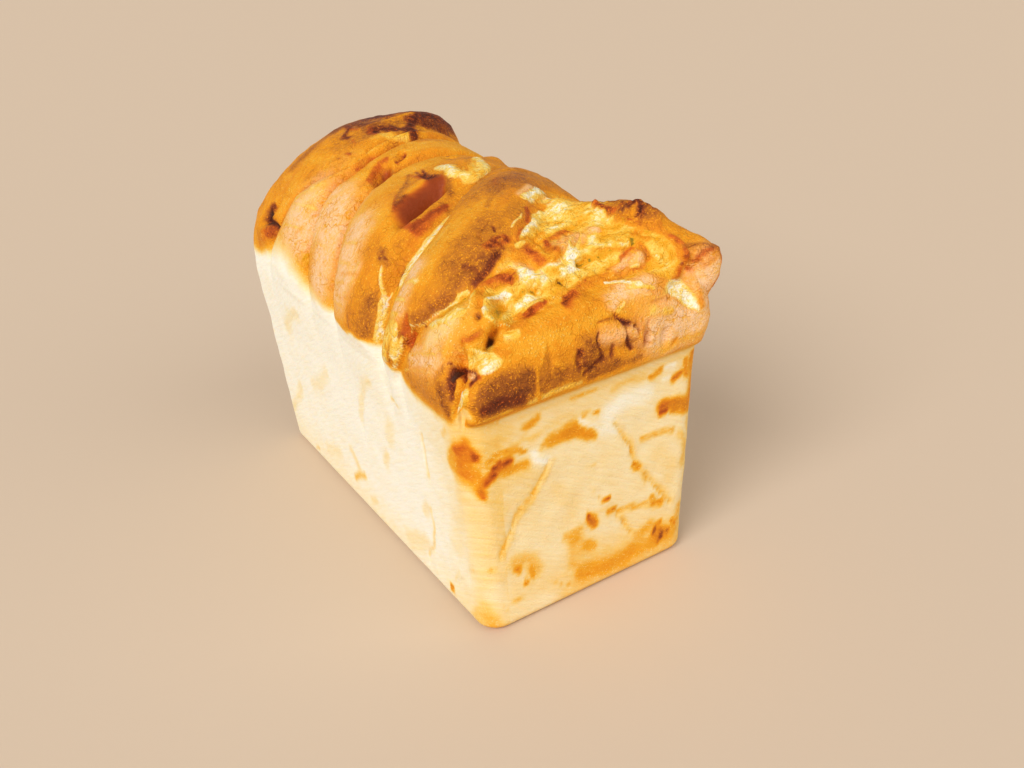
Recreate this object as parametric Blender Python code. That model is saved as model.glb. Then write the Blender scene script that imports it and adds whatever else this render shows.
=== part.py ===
"""Cheese pull-apart bread: one loaf, square below where the tin held it, with a risen crown of rolled lobes."""
import bmesh
import bpy
import numpy as np

for old in list(bpy.data.objects):
    bpy.data.objects.remove(old)

MM = 0.001

# The tin-formed block, in millimetres: half width and half length at the rim, and the rim's height.
HALF_W = 54.5
HALF_L = 106.5
RIM = 96.5
TAPER = 4.6  # how much narrower the foot is than the rim, on each side
WALL_R = 9.0  # rounding of the four upright edges
FOOT_R = 4.0  # rounding where the walls meet the base

# The crown: its crest runs a little right of the middle and it bulges past the tin on the right.
CREST_X = 11.5
CREST_RISE = 59.5
OVERHANG = 4.5

# The crown is laid out by two distances over its skin: s from the left rim, t from the front rim.
S_END = 190.0
T_END = 287.0
T_MID = 138.0

# Cuts of the block before it is shaped, and how many triangles are left at the end.
CUTS = (120, 170, 26)
TRIANGLES = 11400


def smooth(a, b, x):
    """0 below a, 1 above b and an even rise between them."""
    u = np.clip((x - a) / (b - a), 0.0, 1.0)
    return u * u * (3.0 - 2.0 * u)


def even_steps(across, up):
    """A curve given by its width and its height as a share, sampled again at even steps along it."""
    run = np.hypot(np.diff(across), np.diff(up * CREST_RISE))
    along = np.concatenate([[0.0], np.cumsum(run)])
    want = np.linspace(0.0, along[-1], 721)
    return want / along[-1], np.interp(want, along, across), np.interp(want, along, up)


def section(left, right):
    """The crown cut across: a superellipse whose power differs left and right of the crest."""
    turn = np.linspace(0.0, np.pi, 4001)
    c = -np.cos(turn)
    s = np.sin(turn)
    n = np.where(c < 0, left, right)
    r = (np.abs(c) ** n + np.abs(s) ** n) ** (-1.0 / n)
    span = np.where(c < 0, HALF_W + CREST_X, HALF_W - CREST_X)
    return even_steps(CREST_X + span * c * r, s * r)


def end_fall(power):
    """The crown cut lengthwise, from its middle to one end."""
    turn = np.linspace(0.0, np.pi / 2, 6000)
    return even_steps(np.sin(turn) ** (2 / power) * HALF_L, np.cos(turn) ** (2 / power))


ROUND = section(2.05, 2.0)
BOXY = section(2.0, 4.0)
GENTLE = end_fall(3.2)
STEEP = end_fall(6.0)
BACK = end_fall(9.0)


def along_of(t, front):
    """Place along the loaf, and the share of the crest's height there."""
    ahead = np.clip((T_MID - t) / T_MID, 0, 1)
    behind = np.clip((t - T_MID) / (T_END - T_MID), 0, 1)
    y = np.interp(behind, BACK[0], BACK[1]) - np.interp(ahead, front[0], front[1])
    h = np.interp(behind, BACK[0], BACK[2]) * np.interp(ahead, front[0], front[2])
    return y, h


def rounded(x, y, wide, long):
    """Pulls the corners of a rectangle in to quarter circles."""
    a = np.clip((np.abs(x) - wide + WALL_R) / WALL_R, 0, 1)
    b = np.clip((np.abs(y) - long + WALL_R) / WALL_R, 0, 1)
    x = x + np.sign(x) * WALL_R * a * (np.sqrt(1 - b * b / 2) - 1)
    y = y + np.sign(y) * WALL_R * b * (np.sqrt(1 - a * a / 2) - 1)
    return x, y


def crown(s, t):
    """The crown without its lobes."""
    box = 1 - smooth(38, 80, t) + smooth(202, 224, t)
    sharp = smooth(103, 140, s)
    u = s / S_END
    x = (1 - box) * np.interp(u, ROUND[0], ROUND[1]) + box * np.interp(u, BOXY[0], BOXY[1])
    c = (1 - box) * np.interp(u, ROUND[0], ROUND[2]) + box * np.interp(u, BOXY[0], BOXY[2])
    y0, g0 = along_of(t, GENTLE)
    y1, g1 = along_of(t, STEEP)
    y = (1 - sharp) * y0 + sharp * y1
    g = (1 - sharp) * g0 + sharp * g1
    ends = smooth(0, 14, t) * (1 - smooth(T_END - 14, T_END, t))
    lip = OVERHANG * (1 - smooth(S_END - 20, S_END, s)) * ends
    x = x + lip * smooth(105, 150, s)
    rise = CREST_RISE + 2.5 * smooth(0, 90, y) - 2.0 * smooth(-75, -45, y) * (1 - smooth(10, 60, y))
    wide = np.where(x > 0, HALF_W + lip, HALF_W)
    x, y = rounded(x, y, wide, HALF_L)
    # Like the product of the two shares, but it still climbs at the corners, where both are small.
    share = c * g / (c + g - c * g + 1e-9)
    return np.stack([x, y, RIM + rise * share], -1)


def line(s, across, along):
    """A crease over the crown: its t for each s, bending softly at the places given."""
    return sum(np.interp(s + k, across, along) for k in (-5.0, -2.5, 0.0, 2.5, 5.0)) / 5


def crease_lines(s):
    """The six creases between the lobes, front to back."""
    first = line(s, [0, 16, 26, 40, 50, 68, 122, 133, 154, 190], [18, 27, 30, 34, 35, 32, 32, 27, 22, 20])
    second = line(s, [0, 6, 22, 34, 45, 52, 63, 86, 97, 106, 118, 190], [83, 79, 73, 66, 60, 56, 60, 67, 75, 88, 98, 96])
    third = line(s, [0, 20, 44, 56, 70, 82, 96, 110, 150, 190], [91, 91, 93, 95, 98, 106, 114, 121, 136, 138])
    fourth = line(s, [0, 12, 20, 32, 44, 56, 70, 84, 110, 190], [137, 138, 140, 144, 150, 154, 158, 160, 160, 168])
    fifth = line(s, [0, 18, 33, 46, 58, 70, 82, 110, 190], [163, 168, 173, 178, 180, 176, 178, 182, 190])
    sixth = line(s, [0, 18, 30, 44, 52, 63, 70, 90, 118, 143, 190], [214, 210, 205, 203, 199, 188, 180, 186, 190, 212, 216])
    return first, second, third, fourth, fifth, sixth


def bulge(t, t0, t1, power=0.5, lean=1.0):
    """A lobe's swell between two creases."""
    q = np.clip((t - t0) / (t1 - t0), 0, 1) ** lean
    soft = 0.1
    base = soft ** power
    return ((4 * q * (1 - q) + soft) ** power - base) / ((1 + soft) ** power - base)


def spot(s, t, s0, t0, rs, rt, turn, hard):
    """1 at its middle and about 0 beyond the radii rs and rt; turn is in degrees, from s towards t."""
    k = np.radians(turn)
    u = ((s - s0) * np.cos(k) + (t - t0) * np.sin(k)) / rs
    v = ((t - t0) * np.cos(k) - (s - s0) * np.sin(k)) / rt
    return np.exp(-((u * u + v * v) ** (hard / 2)))


# Hollows: s, t, two radii, turn, depth.
PITS = (
    (74, 121, 15.0, 4.4, 20, 9.0),  # long cavity behind the middle lobe
    (78, 163, 7.5, 3.6, 38, 5.0),  # smaller one behind it
    (29, 38, 7.5, 3.6, 55, 7.0),  # gap between the front roll and its left neighbour
    (50, 37, 3.2, 1.9, 20, 5.0),  # deep hole beside the front roll
    (25, 73, 4.6, 2.3, 25, 3.2),
    (91, 166, 2.6, 1.8, 20, 2.0),
    (108, 151, 3.4, 1.8, 0, 2.4),
    (119, 11, 1.9, 3.6, 0, 1.8),
    (60, 46, 4.0, 3.6, 0, 2.6),  # bubbles in the melted cheese
    (51, 48, 2.2, 1.9, 0, 2.2),
    (76, 43, 2.2, 1.6, 20, 2.0),
    (89, 40, 2.6, 1.4, 20, 1.8),
    (98, 47, 4.0, 1.6, 30, 1.5),
    (31, 219, 8.0, 2.6, -25, 4.0),  # burnt pocket at the back
)

# Swellings, in the same order.
LUMPS = (
    (132, 64, 12, 7.5, -35, 7.5),  # crusty ridge behind the cheese
    (117, 80, 13, 8.0, -45, 5.0),
    (146, 50, 12, 9.0, -40, 2.5),
    (163, 70, 24, 30.0, 0, 3.0),
    (149, 38, 12.0, 12.0, 0, 5.6),  # ear at the front right
    (24, 222, 7, 9.0, -20, 2.5),
    (70, 38, 8, 3.0, 10, 1.6),  # folds of cheese and dough
    (66, 52, 9, 2.6, 12, 1.6),
    (97, 56, 11, 2.6, 18, 2.2),
    (112, 50, 12, 3.0, -8, 2.0),
    (87, 33, 5, 3.0, 10, 1.2),
    (106, 134, 14, 6.5, 25, 2.0),
    (124, 144, 6, 4.0, 20, 2.2),
    (120, 212, 20, 7.0, 10, 2.0),
)


def relief(s, t):
    """How far the skin stands out from the plain crown."""
    first, second, third, fourth, fifth, sixth = crease_lines(s)
    left = 1 - smooth(50, 62, s)
    roll = bulge(t, -6.0, first) * smooth(6, 20, s) * (1 - 0.8 * smooth(136, 165, s))
    h = 4.2 * roll + 4.6 * bulge(t, first, second, 0.5, 0.9) * left
    valley = (1 - left) * smooth(0, 5, t - first) * (1 - smooth(-9, 1, t - second))
    h = h - 4.2 * valley * (1 - smooth(126, 150, s))
    h = h + 5.4 * bulge(t, second, third, 0.5, 0.95) * (1 - 0.5 * smooth(95, 135, s))
    gusset_end = line(s, [0, 11, 22, 34, 43, 50, 60, 70], [97, 98, 98, 102, 103, 104, 106, 112])
    gusset = smooth(-1.0, 1.5, t - third) * (1 - smooth(-1.5, 1.0, t - gusset_end))
    h = h - 2.0 * gusset * (1 - smooth(44, 58, s))
    slope = smooth(0, 2, t - third) * (1 - smooth(6, 16, t - third))
    h = h - 3.0 * slope * smooth(44, 56, s) * (1 - smooth(92, 104, s))
    h = h + 5.6 * bulge(t, gusset_end, fourth, 0.5, 0.9) * (1 - 0.55 * smooth(60, 84, s))
    h = h + 2.8 * bulge(t, fourth, fifth, 0.5, 0.9)
    h = h + 3.4 * bulge(t, fifth, sixth, 0.5, 0.9)
    h = h + 3.4 * bulge(t, sixth, T_END + 12.0, 0.45, 0.6) * (0.25 + 0.75 * smooth(40, 100, s))
    for s0, t0, rs, rt, turn, depth in PITS:
        h = h - depth * spot(s, t, s0, t0, rs, rt, turn, 3.0)
    for s0, t0, rs, rt, turn, high in LUMPS:
        h = h + high * spot(s, t, s0, t0, rs, rt, turn, 2.2)
    side = 0.25 + 0.75 * smooth(0, 13, s) * (1 - smooth(S_END - 14, S_END, s))
    edge = smooth(0, 5, s) * (1 - smooth(S_END - 10, S_END, s))
    edge = edge * smooth(0, 4.5, t) * (1 - smooth(T_END - 12, T_END, t))
    return h * side * edge


def normal_of(s, t, step=0.6):
    """Outward direction of the plain crown."""
    along_s = crown(np.clip(s + step, 0, S_END), t) - crown(np.clip(s - step, 0, S_END), t)
    along_t = crown(s, np.clip(t + step, 0, T_END)) - crown(s, np.clip(t - step, 0, T_END))
    n = np.cross(along_s, along_t)
    return n / (np.linalg.norm(n, axis=-1, keepdims=True) + 1e-9)


def top_skin(s, t):
    """The crown with its lobes, creases and hollows."""
    return crown(s, t) + normal_of(s, t) * relief(s, t)[:, None]


def wall_skin(s, t, level):
    """The tin-formed walls below the border point s, t: level 0 at the foot and 1 at the rim."""
    rim = crown(s, t)
    z = level * RIM
    inset = FOOT_R - np.sqrt(np.clip(FOOT_R**2 - np.clip(FOOT_R - z, 0, FOOT_R) ** 2, 0, None))
    pull = TAPER * (1 - level) + inset
    x = rim[:, 0] * (HALF_W - pull) / HALF_W
    y = rim[:, 1] * (HALF_L - pull) / HALF_L
    return np.stack([x, y, z], -1)


def cut_block(cuts):
    """A cube of side 2 whose faces are cut into strips along each axis in turn."""
    mesh = bmesh.new()
    bmesh.ops.create_cube(mesh, size=2.0)
    for axis, count in enumerate(cuts):
        along = [e for e in mesh.edges if abs(e.verts[0].co[axis] - e.verts[1].co[axis]) > 1e-6]
        bmesh.ops.subdivide_edges(mesh, edges=along, cuts=count, use_grid_fill=True)
    return mesh


def shaped(block):
    """Moves the block's vertices to the loaf's skin."""
    block.verts.ensure_lookup_table()
    cube = np.array([v.co[:] for v in block.verts])
    s = (cube[:, 0] + 1) / 2 * S_END
    t = (cube[:, 1] + 1) / 2 * T_END
    # The rows of the walls lie closer together towards the rounded foot.
    level = ((cube[:, 2] + 1) / 2) ** 1.6
    on_top = level > 1 - 1e-6
    place = np.zeros_like(cube)
    place[on_top] = top_skin(s[on_top], t[on_top])
    place[~on_top] = wall_skin(s[~on_top], t[~on_top], level[~on_top])
    for vertex, where in zip(block.verts, place * MM):
        vertex.co = where


def loaf():
    """The whole loaf as one closed body standing on z = 0."""
    block = cut_block(CUTS)
    shaped(block)
    mesh = bpy.data.meshes.new("loaf")
    block.to_mesh(mesh)
    block.free()
    obj = bpy.data.objects.new("loaf", mesh)
    family = bpy.data.collections.new("cheese_pull_apart_bread")
    bpy.context.scene.collection.children.link(family)
    family.objects.link(obj)
    mesh.shade_smooth()
    crust = bpy.data.materials.new("crust")
    crust.use_nodes = True
    shader = crust.node_tree.nodes["Principled BSDF"]
    shader.inputs["Base Color"].default_value = (0.62, 0.33, 0.09, 1.0)
    shader.inputs["Roughness"].default_value = 0.55
    mesh.materials.append(crust)
    thin = obj.modifiers.new("thin", "DECIMATE")
    triangles = sum(len(face.vertices) - 2 for face in mesh.polygons)
    thin.ratio = TRIANGLES / triangles
    return obj


loaf()
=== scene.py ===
# %% [markdown]
# # A cheese pull-apart bread
# The loaf was baked in a square toast tin. Below the rim it took the tin's shape and stayed pale; above it the dough
# rose freely into rolled lobes, browned, and cheese melted out between them. This lesson builds it as one closed skin
# of about 190,000 triangles, then paints the baking on it with a procedural finish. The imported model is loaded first:
# its solid stands for the bread in the physics, and the detailed loaf takes its place in the picture.

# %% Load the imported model
import math

import bpy
import numpy as np
from mathutils import Matrix, Vector


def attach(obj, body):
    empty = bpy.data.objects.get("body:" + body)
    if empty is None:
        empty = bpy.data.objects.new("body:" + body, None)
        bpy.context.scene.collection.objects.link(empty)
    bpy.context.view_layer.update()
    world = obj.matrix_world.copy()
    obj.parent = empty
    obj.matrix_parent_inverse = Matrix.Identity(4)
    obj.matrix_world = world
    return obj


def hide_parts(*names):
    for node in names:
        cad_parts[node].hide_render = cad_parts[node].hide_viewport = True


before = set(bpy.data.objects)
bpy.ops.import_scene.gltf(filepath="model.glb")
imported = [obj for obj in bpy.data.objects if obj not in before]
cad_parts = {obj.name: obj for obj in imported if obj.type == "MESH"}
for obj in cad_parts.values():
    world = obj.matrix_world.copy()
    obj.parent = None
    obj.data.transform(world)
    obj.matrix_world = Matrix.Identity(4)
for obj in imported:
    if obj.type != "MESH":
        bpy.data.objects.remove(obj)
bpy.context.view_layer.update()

bpy.ops.object.select_all(action="DESELECT")

# %% [markdown]
# ## The camera
# The photo looks down on the near left corner of the loaf, so the long left wall and the front end both show. The
# camera comes first. Its angles were found by lining up the four corners of the tin-formed block: 30 degrees to the
# right of straight ahead, 28 degrees down, rolled 4.5 degrees.

# %% Camera
MM = 0.001
CAMERA_PLACE = (-191.2, -378.9, 274.5)
YAW = 30.1
PITCH = 27.7
ROLL = -4.5
LENS = 36.1
NEAR_CLIP = 0.01


def studio_camera():
    """A camera at the photo's viewpoint, as the scene's own."""
    yaw = math.radians(YAW)
    pitch = math.radians(PITCH)
    ahead = Vector((math.sin(yaw) * math.cos(pitch), math.cos(yaw) * math.cos(pitch), -math.sin(pitch)))
    right = Vector((math.cos(yaw), -math.sin(yaw), 0))
    up = right.cross(ahead)
    upright = Matrix((right, up, -ahead)).transposed().to_4x4()
    bpy.ops.object.camera_add()
    camera = bpy.context.object
    camera.name = "camera"
    roll = Matrix.Rotation(math.radians(ROLL), 4, "Z")
    camera.matrix_world = Matrix.Translation(Vector(CAMERA_PLACE) * MM) @ upright @ roll
    camera.data.lens = LENS
    camera.data.clip_start = NEAR_CLIP
    bpy.context.scene.camera = camera
    return camera


camera = studio_camera()
print("camera at", [round(value, 3) for value in camera.location])

# %% [markdown]
# ## Measures of the loaf
# The crown is laid out like a cloth over the block: s is the distance over it from the left rim and t the distance
# from the front rim, both in millimetres. Everything on the crown, such as a crease, a hole or a brown patch, is
# then placed by those two numbers, which is how a baker would point at it. These are the values of the CAD source.

# %% Measures and plain crown
HALF_W = 54.5
HALF_L = 106.5
RIM = 96.5
TAPER = 4.6
WALL_R = 9.0
FOOT_R = 4.0
CREST_X = 11.5
CREST_RISE = 59.5
OVERHANG = 4.5
S_END = 190.0
T_END = 287.0
T_MID = 138.0
CURVE_STEPS = 721


def smooth(a, b, x):
    """0 below a, 1 above b and an even rise between them."""
    u = np.clip((x - a) / (b - a), 0.0, 1.0)
    return u * u * (3.0 - 2.0 * u)


def even_steps(across, up):
    """A curve given by its width and its height as a share, sampled again at even steps along it."""
    run = np.hypot(np.diff(across), np.diff(up * CREST_RISE))
    along = np.concatenate([[0.0], np.cumsum(run)])
    want = np.linspace(0.0, along[-1], CURVE_STEPS)
    return want / along[-1], np.interp(want, along, across), np.interp(want, along, up)


def section(left, right):
    """The crown cut across: a superellipse whose power differs left and right of the crest."""
    turn = np.linspace(0.0, np.pi, 4001)
    c = -np.cos(turn)
    s = np.sin(turn)
    n = np.where(c < 0, left, right)
    r = (np.abs(c) ** n + np.abs(s) ** n) ** (-1.0 / n)
    span = np.where(c < 0, HALF_W + CREST_X, HALF_W - CREST_X)
    return even_steps(CREST_X + span * c * r, s * r)


def end_fall(power):
    """The crown cut lengthwise, from its middle to one end."""
    turn = np.linspace(0.0, np.pi / 2, 6000)
    return even_steps(np.sin(turn) ** (2 / power) * HALF_L, np.cos(turn) ** (2 / power))


ROUND = section(2.05, 2.0)
BOXY = section(2.0, 4.0)
GENTLE = end_fall(3.2)
STEEP = end_fall(6.0)
BACK = end_fall(9.0)


def along_of(t, front):
    """Place along the loaf, and the share of the crest's height there."""
    ahead = np.clip((T_MID - t) / T_MID, 0, 1)
    behind = np.clip((t - T_MID) / (T_END - T_MID), 0, 1)
    y = np.interp(behind, BACK[0], BACK[1]) - np.interp(ahead, front[0], front[1])
    h = np.interp(behind, BACK[0], BACK[2]) * np.interp(ahead, front[0], front[2])
    return y, h


def rounded(x, y, wide, long):
    """Pulls the corners of a rectangle in to quarter circles."""
    a = np.clip((np.abs(x) - wide + WALL_R) / WALL_R, 0, 1)
    b = np.clip((np.abs(y) - long + WALL_R) / WALL_R, 0, 1)
    x = x + np.sign(x) * WALL_R * a * (np.sqrt(1 - b * b / 2) - 1)
    y = y + np.sign(y) * WALL_R * b * (np.sqrt(1 - a * a / 2) - 1)
    return x, y


def crown(s, t):
    """The crown without its lobes."""
    box = 1 - smooth(38, 80, t) + smooth(202, 224, t)
    sharp = smooth(103, 140, s)
    u = s / S_END
    x = (1 - box) * np.interp(u, ROUND[0], ROUND[1]) + box * np.interp(u, BOXY[0], BOXY[1])
    c = (1 - box) * np.interp(u, ROUND[0], ROUND[2]) + box * np.interp(u, BOXY[0], BOXY[2])
    y0, g0 = along_of(t, GENTLE)
    y1, g1 = along_of(t, STEEP)
    y = (1 - sharp) * y0 + sharp * y1
    g = (1 - sharp) * g0 + sharp * g1
    ends = smooth(0, 14, t) * (1 - smooth(T_END - 14, T_END, t))
    lip = OVERHANG * (1 - smooth(S_END - 20, S_END, s)) * ends
    x = x + lip * smooth(105, 150, s)
    rise = CREST_RISE + 2.5 * smooth(0, 90, y) - 2.0 * smooth(-75, -45, y) * (1 - smooth(10, 60, y))
    wide = np.where(x > 0, HALF_W + lip, HALF_W)
    x, y = rounded(x, y, wide, HALF_L)
    share = c * g / (c + g - c * g + 1e-9)
    return np.stack([x, y, RIM + rise * share], -1)


def wall_skin(s, t, z, dents):
    """The tin-formed walls below the border point s, t; dents move a place inwards."""
    rim = crown(s, t)
    inset = FOOT_R - np.sqrt(np.clip(FOOT_R**2 - np.clip(FOOT_R - z, 0, FOOT_R) ** 2, 0, None))
    pull = TAPER * (1 - z / RIM) + inset + dents
    x = rim[:, 0] * (HALF_W - pull) / HALF_W
    y = rim[:, 1] * (HALF_L - pull) / HALF_L
    return np.stack([x, y, z], -1)


print("crest", round(RIM + CREST_RISE, 1), "mm above the base")

# %% [markdown]
# ## Lobes, creases and hollows
# Six creases run over the crown where one roll of dough meets the next. Between two creases the dough swells like a
# cushion. Cheese bubbles and torn layers leave hollows, and crusty bits stand up. All of them are named values, so a
# crease can be moved without touching the mesh.

# %% Creases and swells
# Creases from front to back: distances over the crown from the left rim, and the distance from the front rim there.
CREASES = (
    ([0, 16, 26, 40, 50, 68, 122, 133, 154, 190], [18, 27, 30, 34, 35, 32, 32, 27, 22, 20]),
    ([0, 6, 22, 34, 45, 52, 63, 86, 97, 106, 118, 190], [83, 79, 73, 66, 60, 56, 60, 67, 75, 88, 98, 96]),
    ([0, 20, 44, 56, 70, 82, 96, 110, 150, 190], [91, 91, 93, 95, 98, 106, 114, 121, 136, 138]),
    ([0, 12, 20, 32, 44, 56, 70, 84, 110, 190], [137, 138, 140, 144, 150, 154, 158, 160, 160, 168]),
    ([0, 18, 33, 46, 58, 70, 82, 110, 190], [163, 168, 173, 178, 180, 176, 178, 182, 190]),
    ([0, 18, 30, 44, 52, 63, 70, 90, 118, 143, 190], [214, 210, 205, 203, 199, 188, 180, 186, 190, 212, 216]),
)


def line(s, across, along):
    """A crease over the crown: its t for each s, bending softly at the places given."""
    return sum(np.interp(s + k, across, along) for k in (-5.0, -2.5, 0.0, 2.5, 5.0)) / 5


def crease_lines(s):
    """The six creases between the lobes, front to back."""
    return [line(s, across, along) for across, along in CREASES]


def bulge(t, t0, t1, power=0.5, lean=1.0):
    """A lobe's swell between two creases."""
    q = np.clip((t - t0) / (t1 - t0), 0, 1) ** lean
    soft = 0.1
    base = soft ** power
    return ((4 * q * (1 - q) + soft) ** power - base) / ((1 + soft) ** power - base)


def spot(s, t, s0, t0, rs, rt, turn, hard):
    """1 at its middle and about 0 beyond the radii rs and rt; turn is in degrees, from s towards t."""
    k = np.radians(turn)
    u = ((s - s0) * np.cos(k) + (t - t0) * np.sin(k)) / rs
    v = ((t - t0) * np.cos(k) - (s - s0) * np.sin(k)) / rt
    return np.exp(-((u * u + v * v) ** (hard / 2)))


# Hollows: s, t, two radii, turn, depth.
PITS = (
    (74, 121, 15.0, 4.4, 20, 9.0),  # long cavity behind the middle lobe
    (78, 163, 7.5, 3.6, 38, 5.0),  # smaller one behind it
    (29, 38, 7.5, 3.6, 55, 7.0),  # gap between the front roll and its left neighbour
    (50, 37, 3.2, 1.9, 20, 5.0),  # deep hole beside the front roll
    (25, 73, 4.6, 2.3, 25, 3.2),
    (91, 166, 2.6, 1.8, 20, 2.0),
    (108, 151, 3.4, 1.8, 0, 2.4),
    (119, 11, 1.9, 3.6, 0, 1.8),
    (60, 46, 4.0, 3.6, 0, 2.6),  # bubbles in the melted cheese
    (51, 48, 2.2, 1.9, 0, 2.2),
    (76, 43, 2.2, 1.6, 20, 2.0),
    (89, 40, 2.6, 1.4, 20, 1.8),
    (98, 47, 4.0, 1.6, 30, 1.5),
    (31, 219, 8.0, 2.6, -25, 4.0),  # burnt pocket at the back
)

# Swellings, in the same order.
LUMPS = (
    (128, 60, 3.6, 3.2, 0, 2.6),  # knobs of the ridge
    (133, 57, 3.4, 3.0, 0, 2.2),
    (124, 65, 3.2, 2.8, 0, 1.8),
    (132, 64, 12, 7.5, -35, 7.5),  # crusty ridge behind the cheese
    (117, 80, 13, 8.0, -45, 5.0),
    (146, 50, 12, 9.0, -40, 2.5),
    (163, 70, 24, 30.0, 0, 3.0),
    (149, 38, 12.0, 12.0, 0, 5.6),  # ear at the front right
    (24, 222, 7, 9.0, -20, 2.5),
    (70, 38, 8, 3.0, 10, 1.6),  # folds of cheese and dough
    (66, 52, 9, 2.6, 12, 1.6),
    (97, 56, 11, 2.6, 18, 2.2),
    (112, 50, 12, 3.0, -8, 2.0),
    (87, 33, 5, 3.0, 10, 1.2),
    (106, 134, 14, 6.5, 25, 2.0),
    (124, 144, 6, 4.0, 20, 2.2),
    (120, 212, 20, 7.0, 10, 2.0),
)


def relief(s, t):
    """How far the lobes and hollows stand out from the plain crown."""
    first, second, third, fourth, fifth, sixth = crease_lines(s)
    left = 1 - smooth(50, 62, s)
    roll = bulge(t, -6.0, first) * smooth(6, 20, s) * (1 - 0.8 * smooth(136, 165, s))
    h = 4.2 * roll + 4.6 * bulge(t, first, second, 0.5, 0.9) * left
    valley = (1 - left) * smooth(0, 5, t - first) * (1 - smooth(-9, 1, t - second))
    h = h - 4.2 * valley * (1 - smooth(126, 150, s))
    h = h + 5.4 * bulge(t, second, third, 0.5, 0.95) * (1 - 0.5 * smooth(95, 135, s))
    gusset_end = line(s, [0, 11, 22, 34, 43, 50, 60, 70], [97, 98, 98, 102, 103, 104, 106, 112])
    gusset = smooth(-1.0, 1.5, t - third) * (1 - smooth(-1.5, 1.0, t - gusset_end))
    h = h - 2.0 * gusset * (1 - smooth(44, 58, s))
    slope = smooth(0, 2, t - third) * (1 - smooth(6, 16, t - third))
    h = h - 3.0 * slope * smooth(44, 56, s) * (1 - smooth(92, 104, s))
    h = h + 5.6 * bulge(t, gusset_end, fourth, 0.5, 0.9) * (1 - 0.55 * smooth(60, 84, s))
    h = h + 2.8 * bulge(t, fourth, fifth, 0.5, 0.9)
    h = h + 3.4 * bulge(t, fifth, sixth, 0.5, 0.9)
    h = h + 3.4 * bulge(t, sixth, T_END + 12.0, 0.45, 0.6) * (0.25 + 0.75 * smooth(40, 100, s))
    for s0, t0, rs, rt, turn, depth in PITS:
        h = h - depth * spot(s, t, s0, t0, rs, rt, turn, 3.0)
    for s0, t0, rs, rt, turn, high in LUMPS:
        h = h + high * spot(s, t, s0, t0, rs, rt, turn, 2.2)
    side = 0.25 + 0.75 * smooth(0, 13, s) * (1 - smooth(S_END - 14, S_END, s))
    edge = smooth(0, 5, s) * (1 - smooth(S_END - 10, S_END, s))
    edge = edge * smooth(0, 4.5, t) * (1 - smooth(T_END - 12, T_END, t))
    return h * side * edge


print(len(PITS), "hollows and", len(LUMPS), "swellings")

# %% [markdown]
# ## Noise for crumbs, crags and bubbles
# Baked dough is never smooth. A seeded noise that gives the same number at the same place each time stands in for the
# accidents of baking. Folded on itself it makes sharp ridges, as on rough crust; stretched it makes strands of cheese;
# and the distance to scattered points makes bubbles.

# %% Seeded noise


def scatter(cell, seed):
    """A repeatable number from 0 to 1 for each whole-numbered cell."""
    key = cell.astype(np.int64) @ np.array([73856093, 19349663, 83492791]) + seed * 2654435761
    key = (key ^ (key >> 13)) * 1274126177
    key = (key ^ (key >> 16)) & 0xFFFFFF
    return key / 0xFFFFFF


def noise(place, size, seed):
    """Soft noise from -1 to 1 with grains of the given size."""
    at = place / size
    cell = np.floor(at)
    part = at - cell
    part = part * part * (3 - 2 * part)
    total = np.zeros(len(place))
    for corner in np.ndindex(2, 2, 2):
        weight = np.prod(np.where(corner, part, 1 - part), axis=1)
        total += weight * scatter(cell + np.array(corner), seed)
    return 2 * total - 1


def layered(place, size, seed, layers=3):
    """Noise with finer and fainter noise on top."""
    total = sum(noise(place, size / 2**k, seed + k) / 2**k for k in range(layers))
    return total / (2 - 2 ** (1 - layers))


def crags(place, size, seed, layers=3):
    """Sharp ridges and rounded hollows, from 0 to about 1."""
    total = sum((1 - np.abs(noise(place, size / 2**k, seed + k)) * 2) / 2**k for k in range(layers))
    return np.clip(total / (2 - 2 ** (1 - layers)) * 0.5 + 0.5, 0, 1)


def bubbles(place, size, seed):
    """1 in the middle of scattered round hollows, 0 between them."""
    at = place / size
    home = np.floor(at)
    nearest = np.full(len(place), 9.0)
    for step in np.ndindex(3, 3, 3):
        cell = home + np.array(step) - 1
        middle = cell + np.stack([scatter(cell, seed + k) for k in range(3)], -1)
        radius = 0.25 + 0.35 * scatter(cell, seed + 3)
        nearest = np.minimum(nearest, np.linalg.norm(at - middle, axis=1) / radius)
    return 1 - smooth(0.5, 1.1, nearest)


print("noise at the origin", round(float(noise(np.array([[0.3, 0.4, 0.5]]), 1.0, 7)[0]), 3))

# %% [markdown]
# ## A fine skin
# The skin starts as a flat grid, the crown seen from above. Its border is extruded down to make the four walls, the
# walls are cut into rows, and the open foot is filled. Each vertex then knows its s, its t and its level on the wall,
# and is moved to its place. Rows lie closer together at the front, where the photo shows most.

# %% The uncut skin
ACROSS = 184
ALONG = 262
WALL_ROWS = 54
S_ROWS = ([0, 56, 158, 184], [0.0, 56.0, 134.0, S_END])
T_ROWS = ([0, 34, 108, 158, 232, 262], [0.0, 28.0, 78.0, 122.0, 222.0, T_END])
Z_ROWS = ([0, 6, 32, 54], [0.0, FOOT_R, 60.0, RIM])


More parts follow.
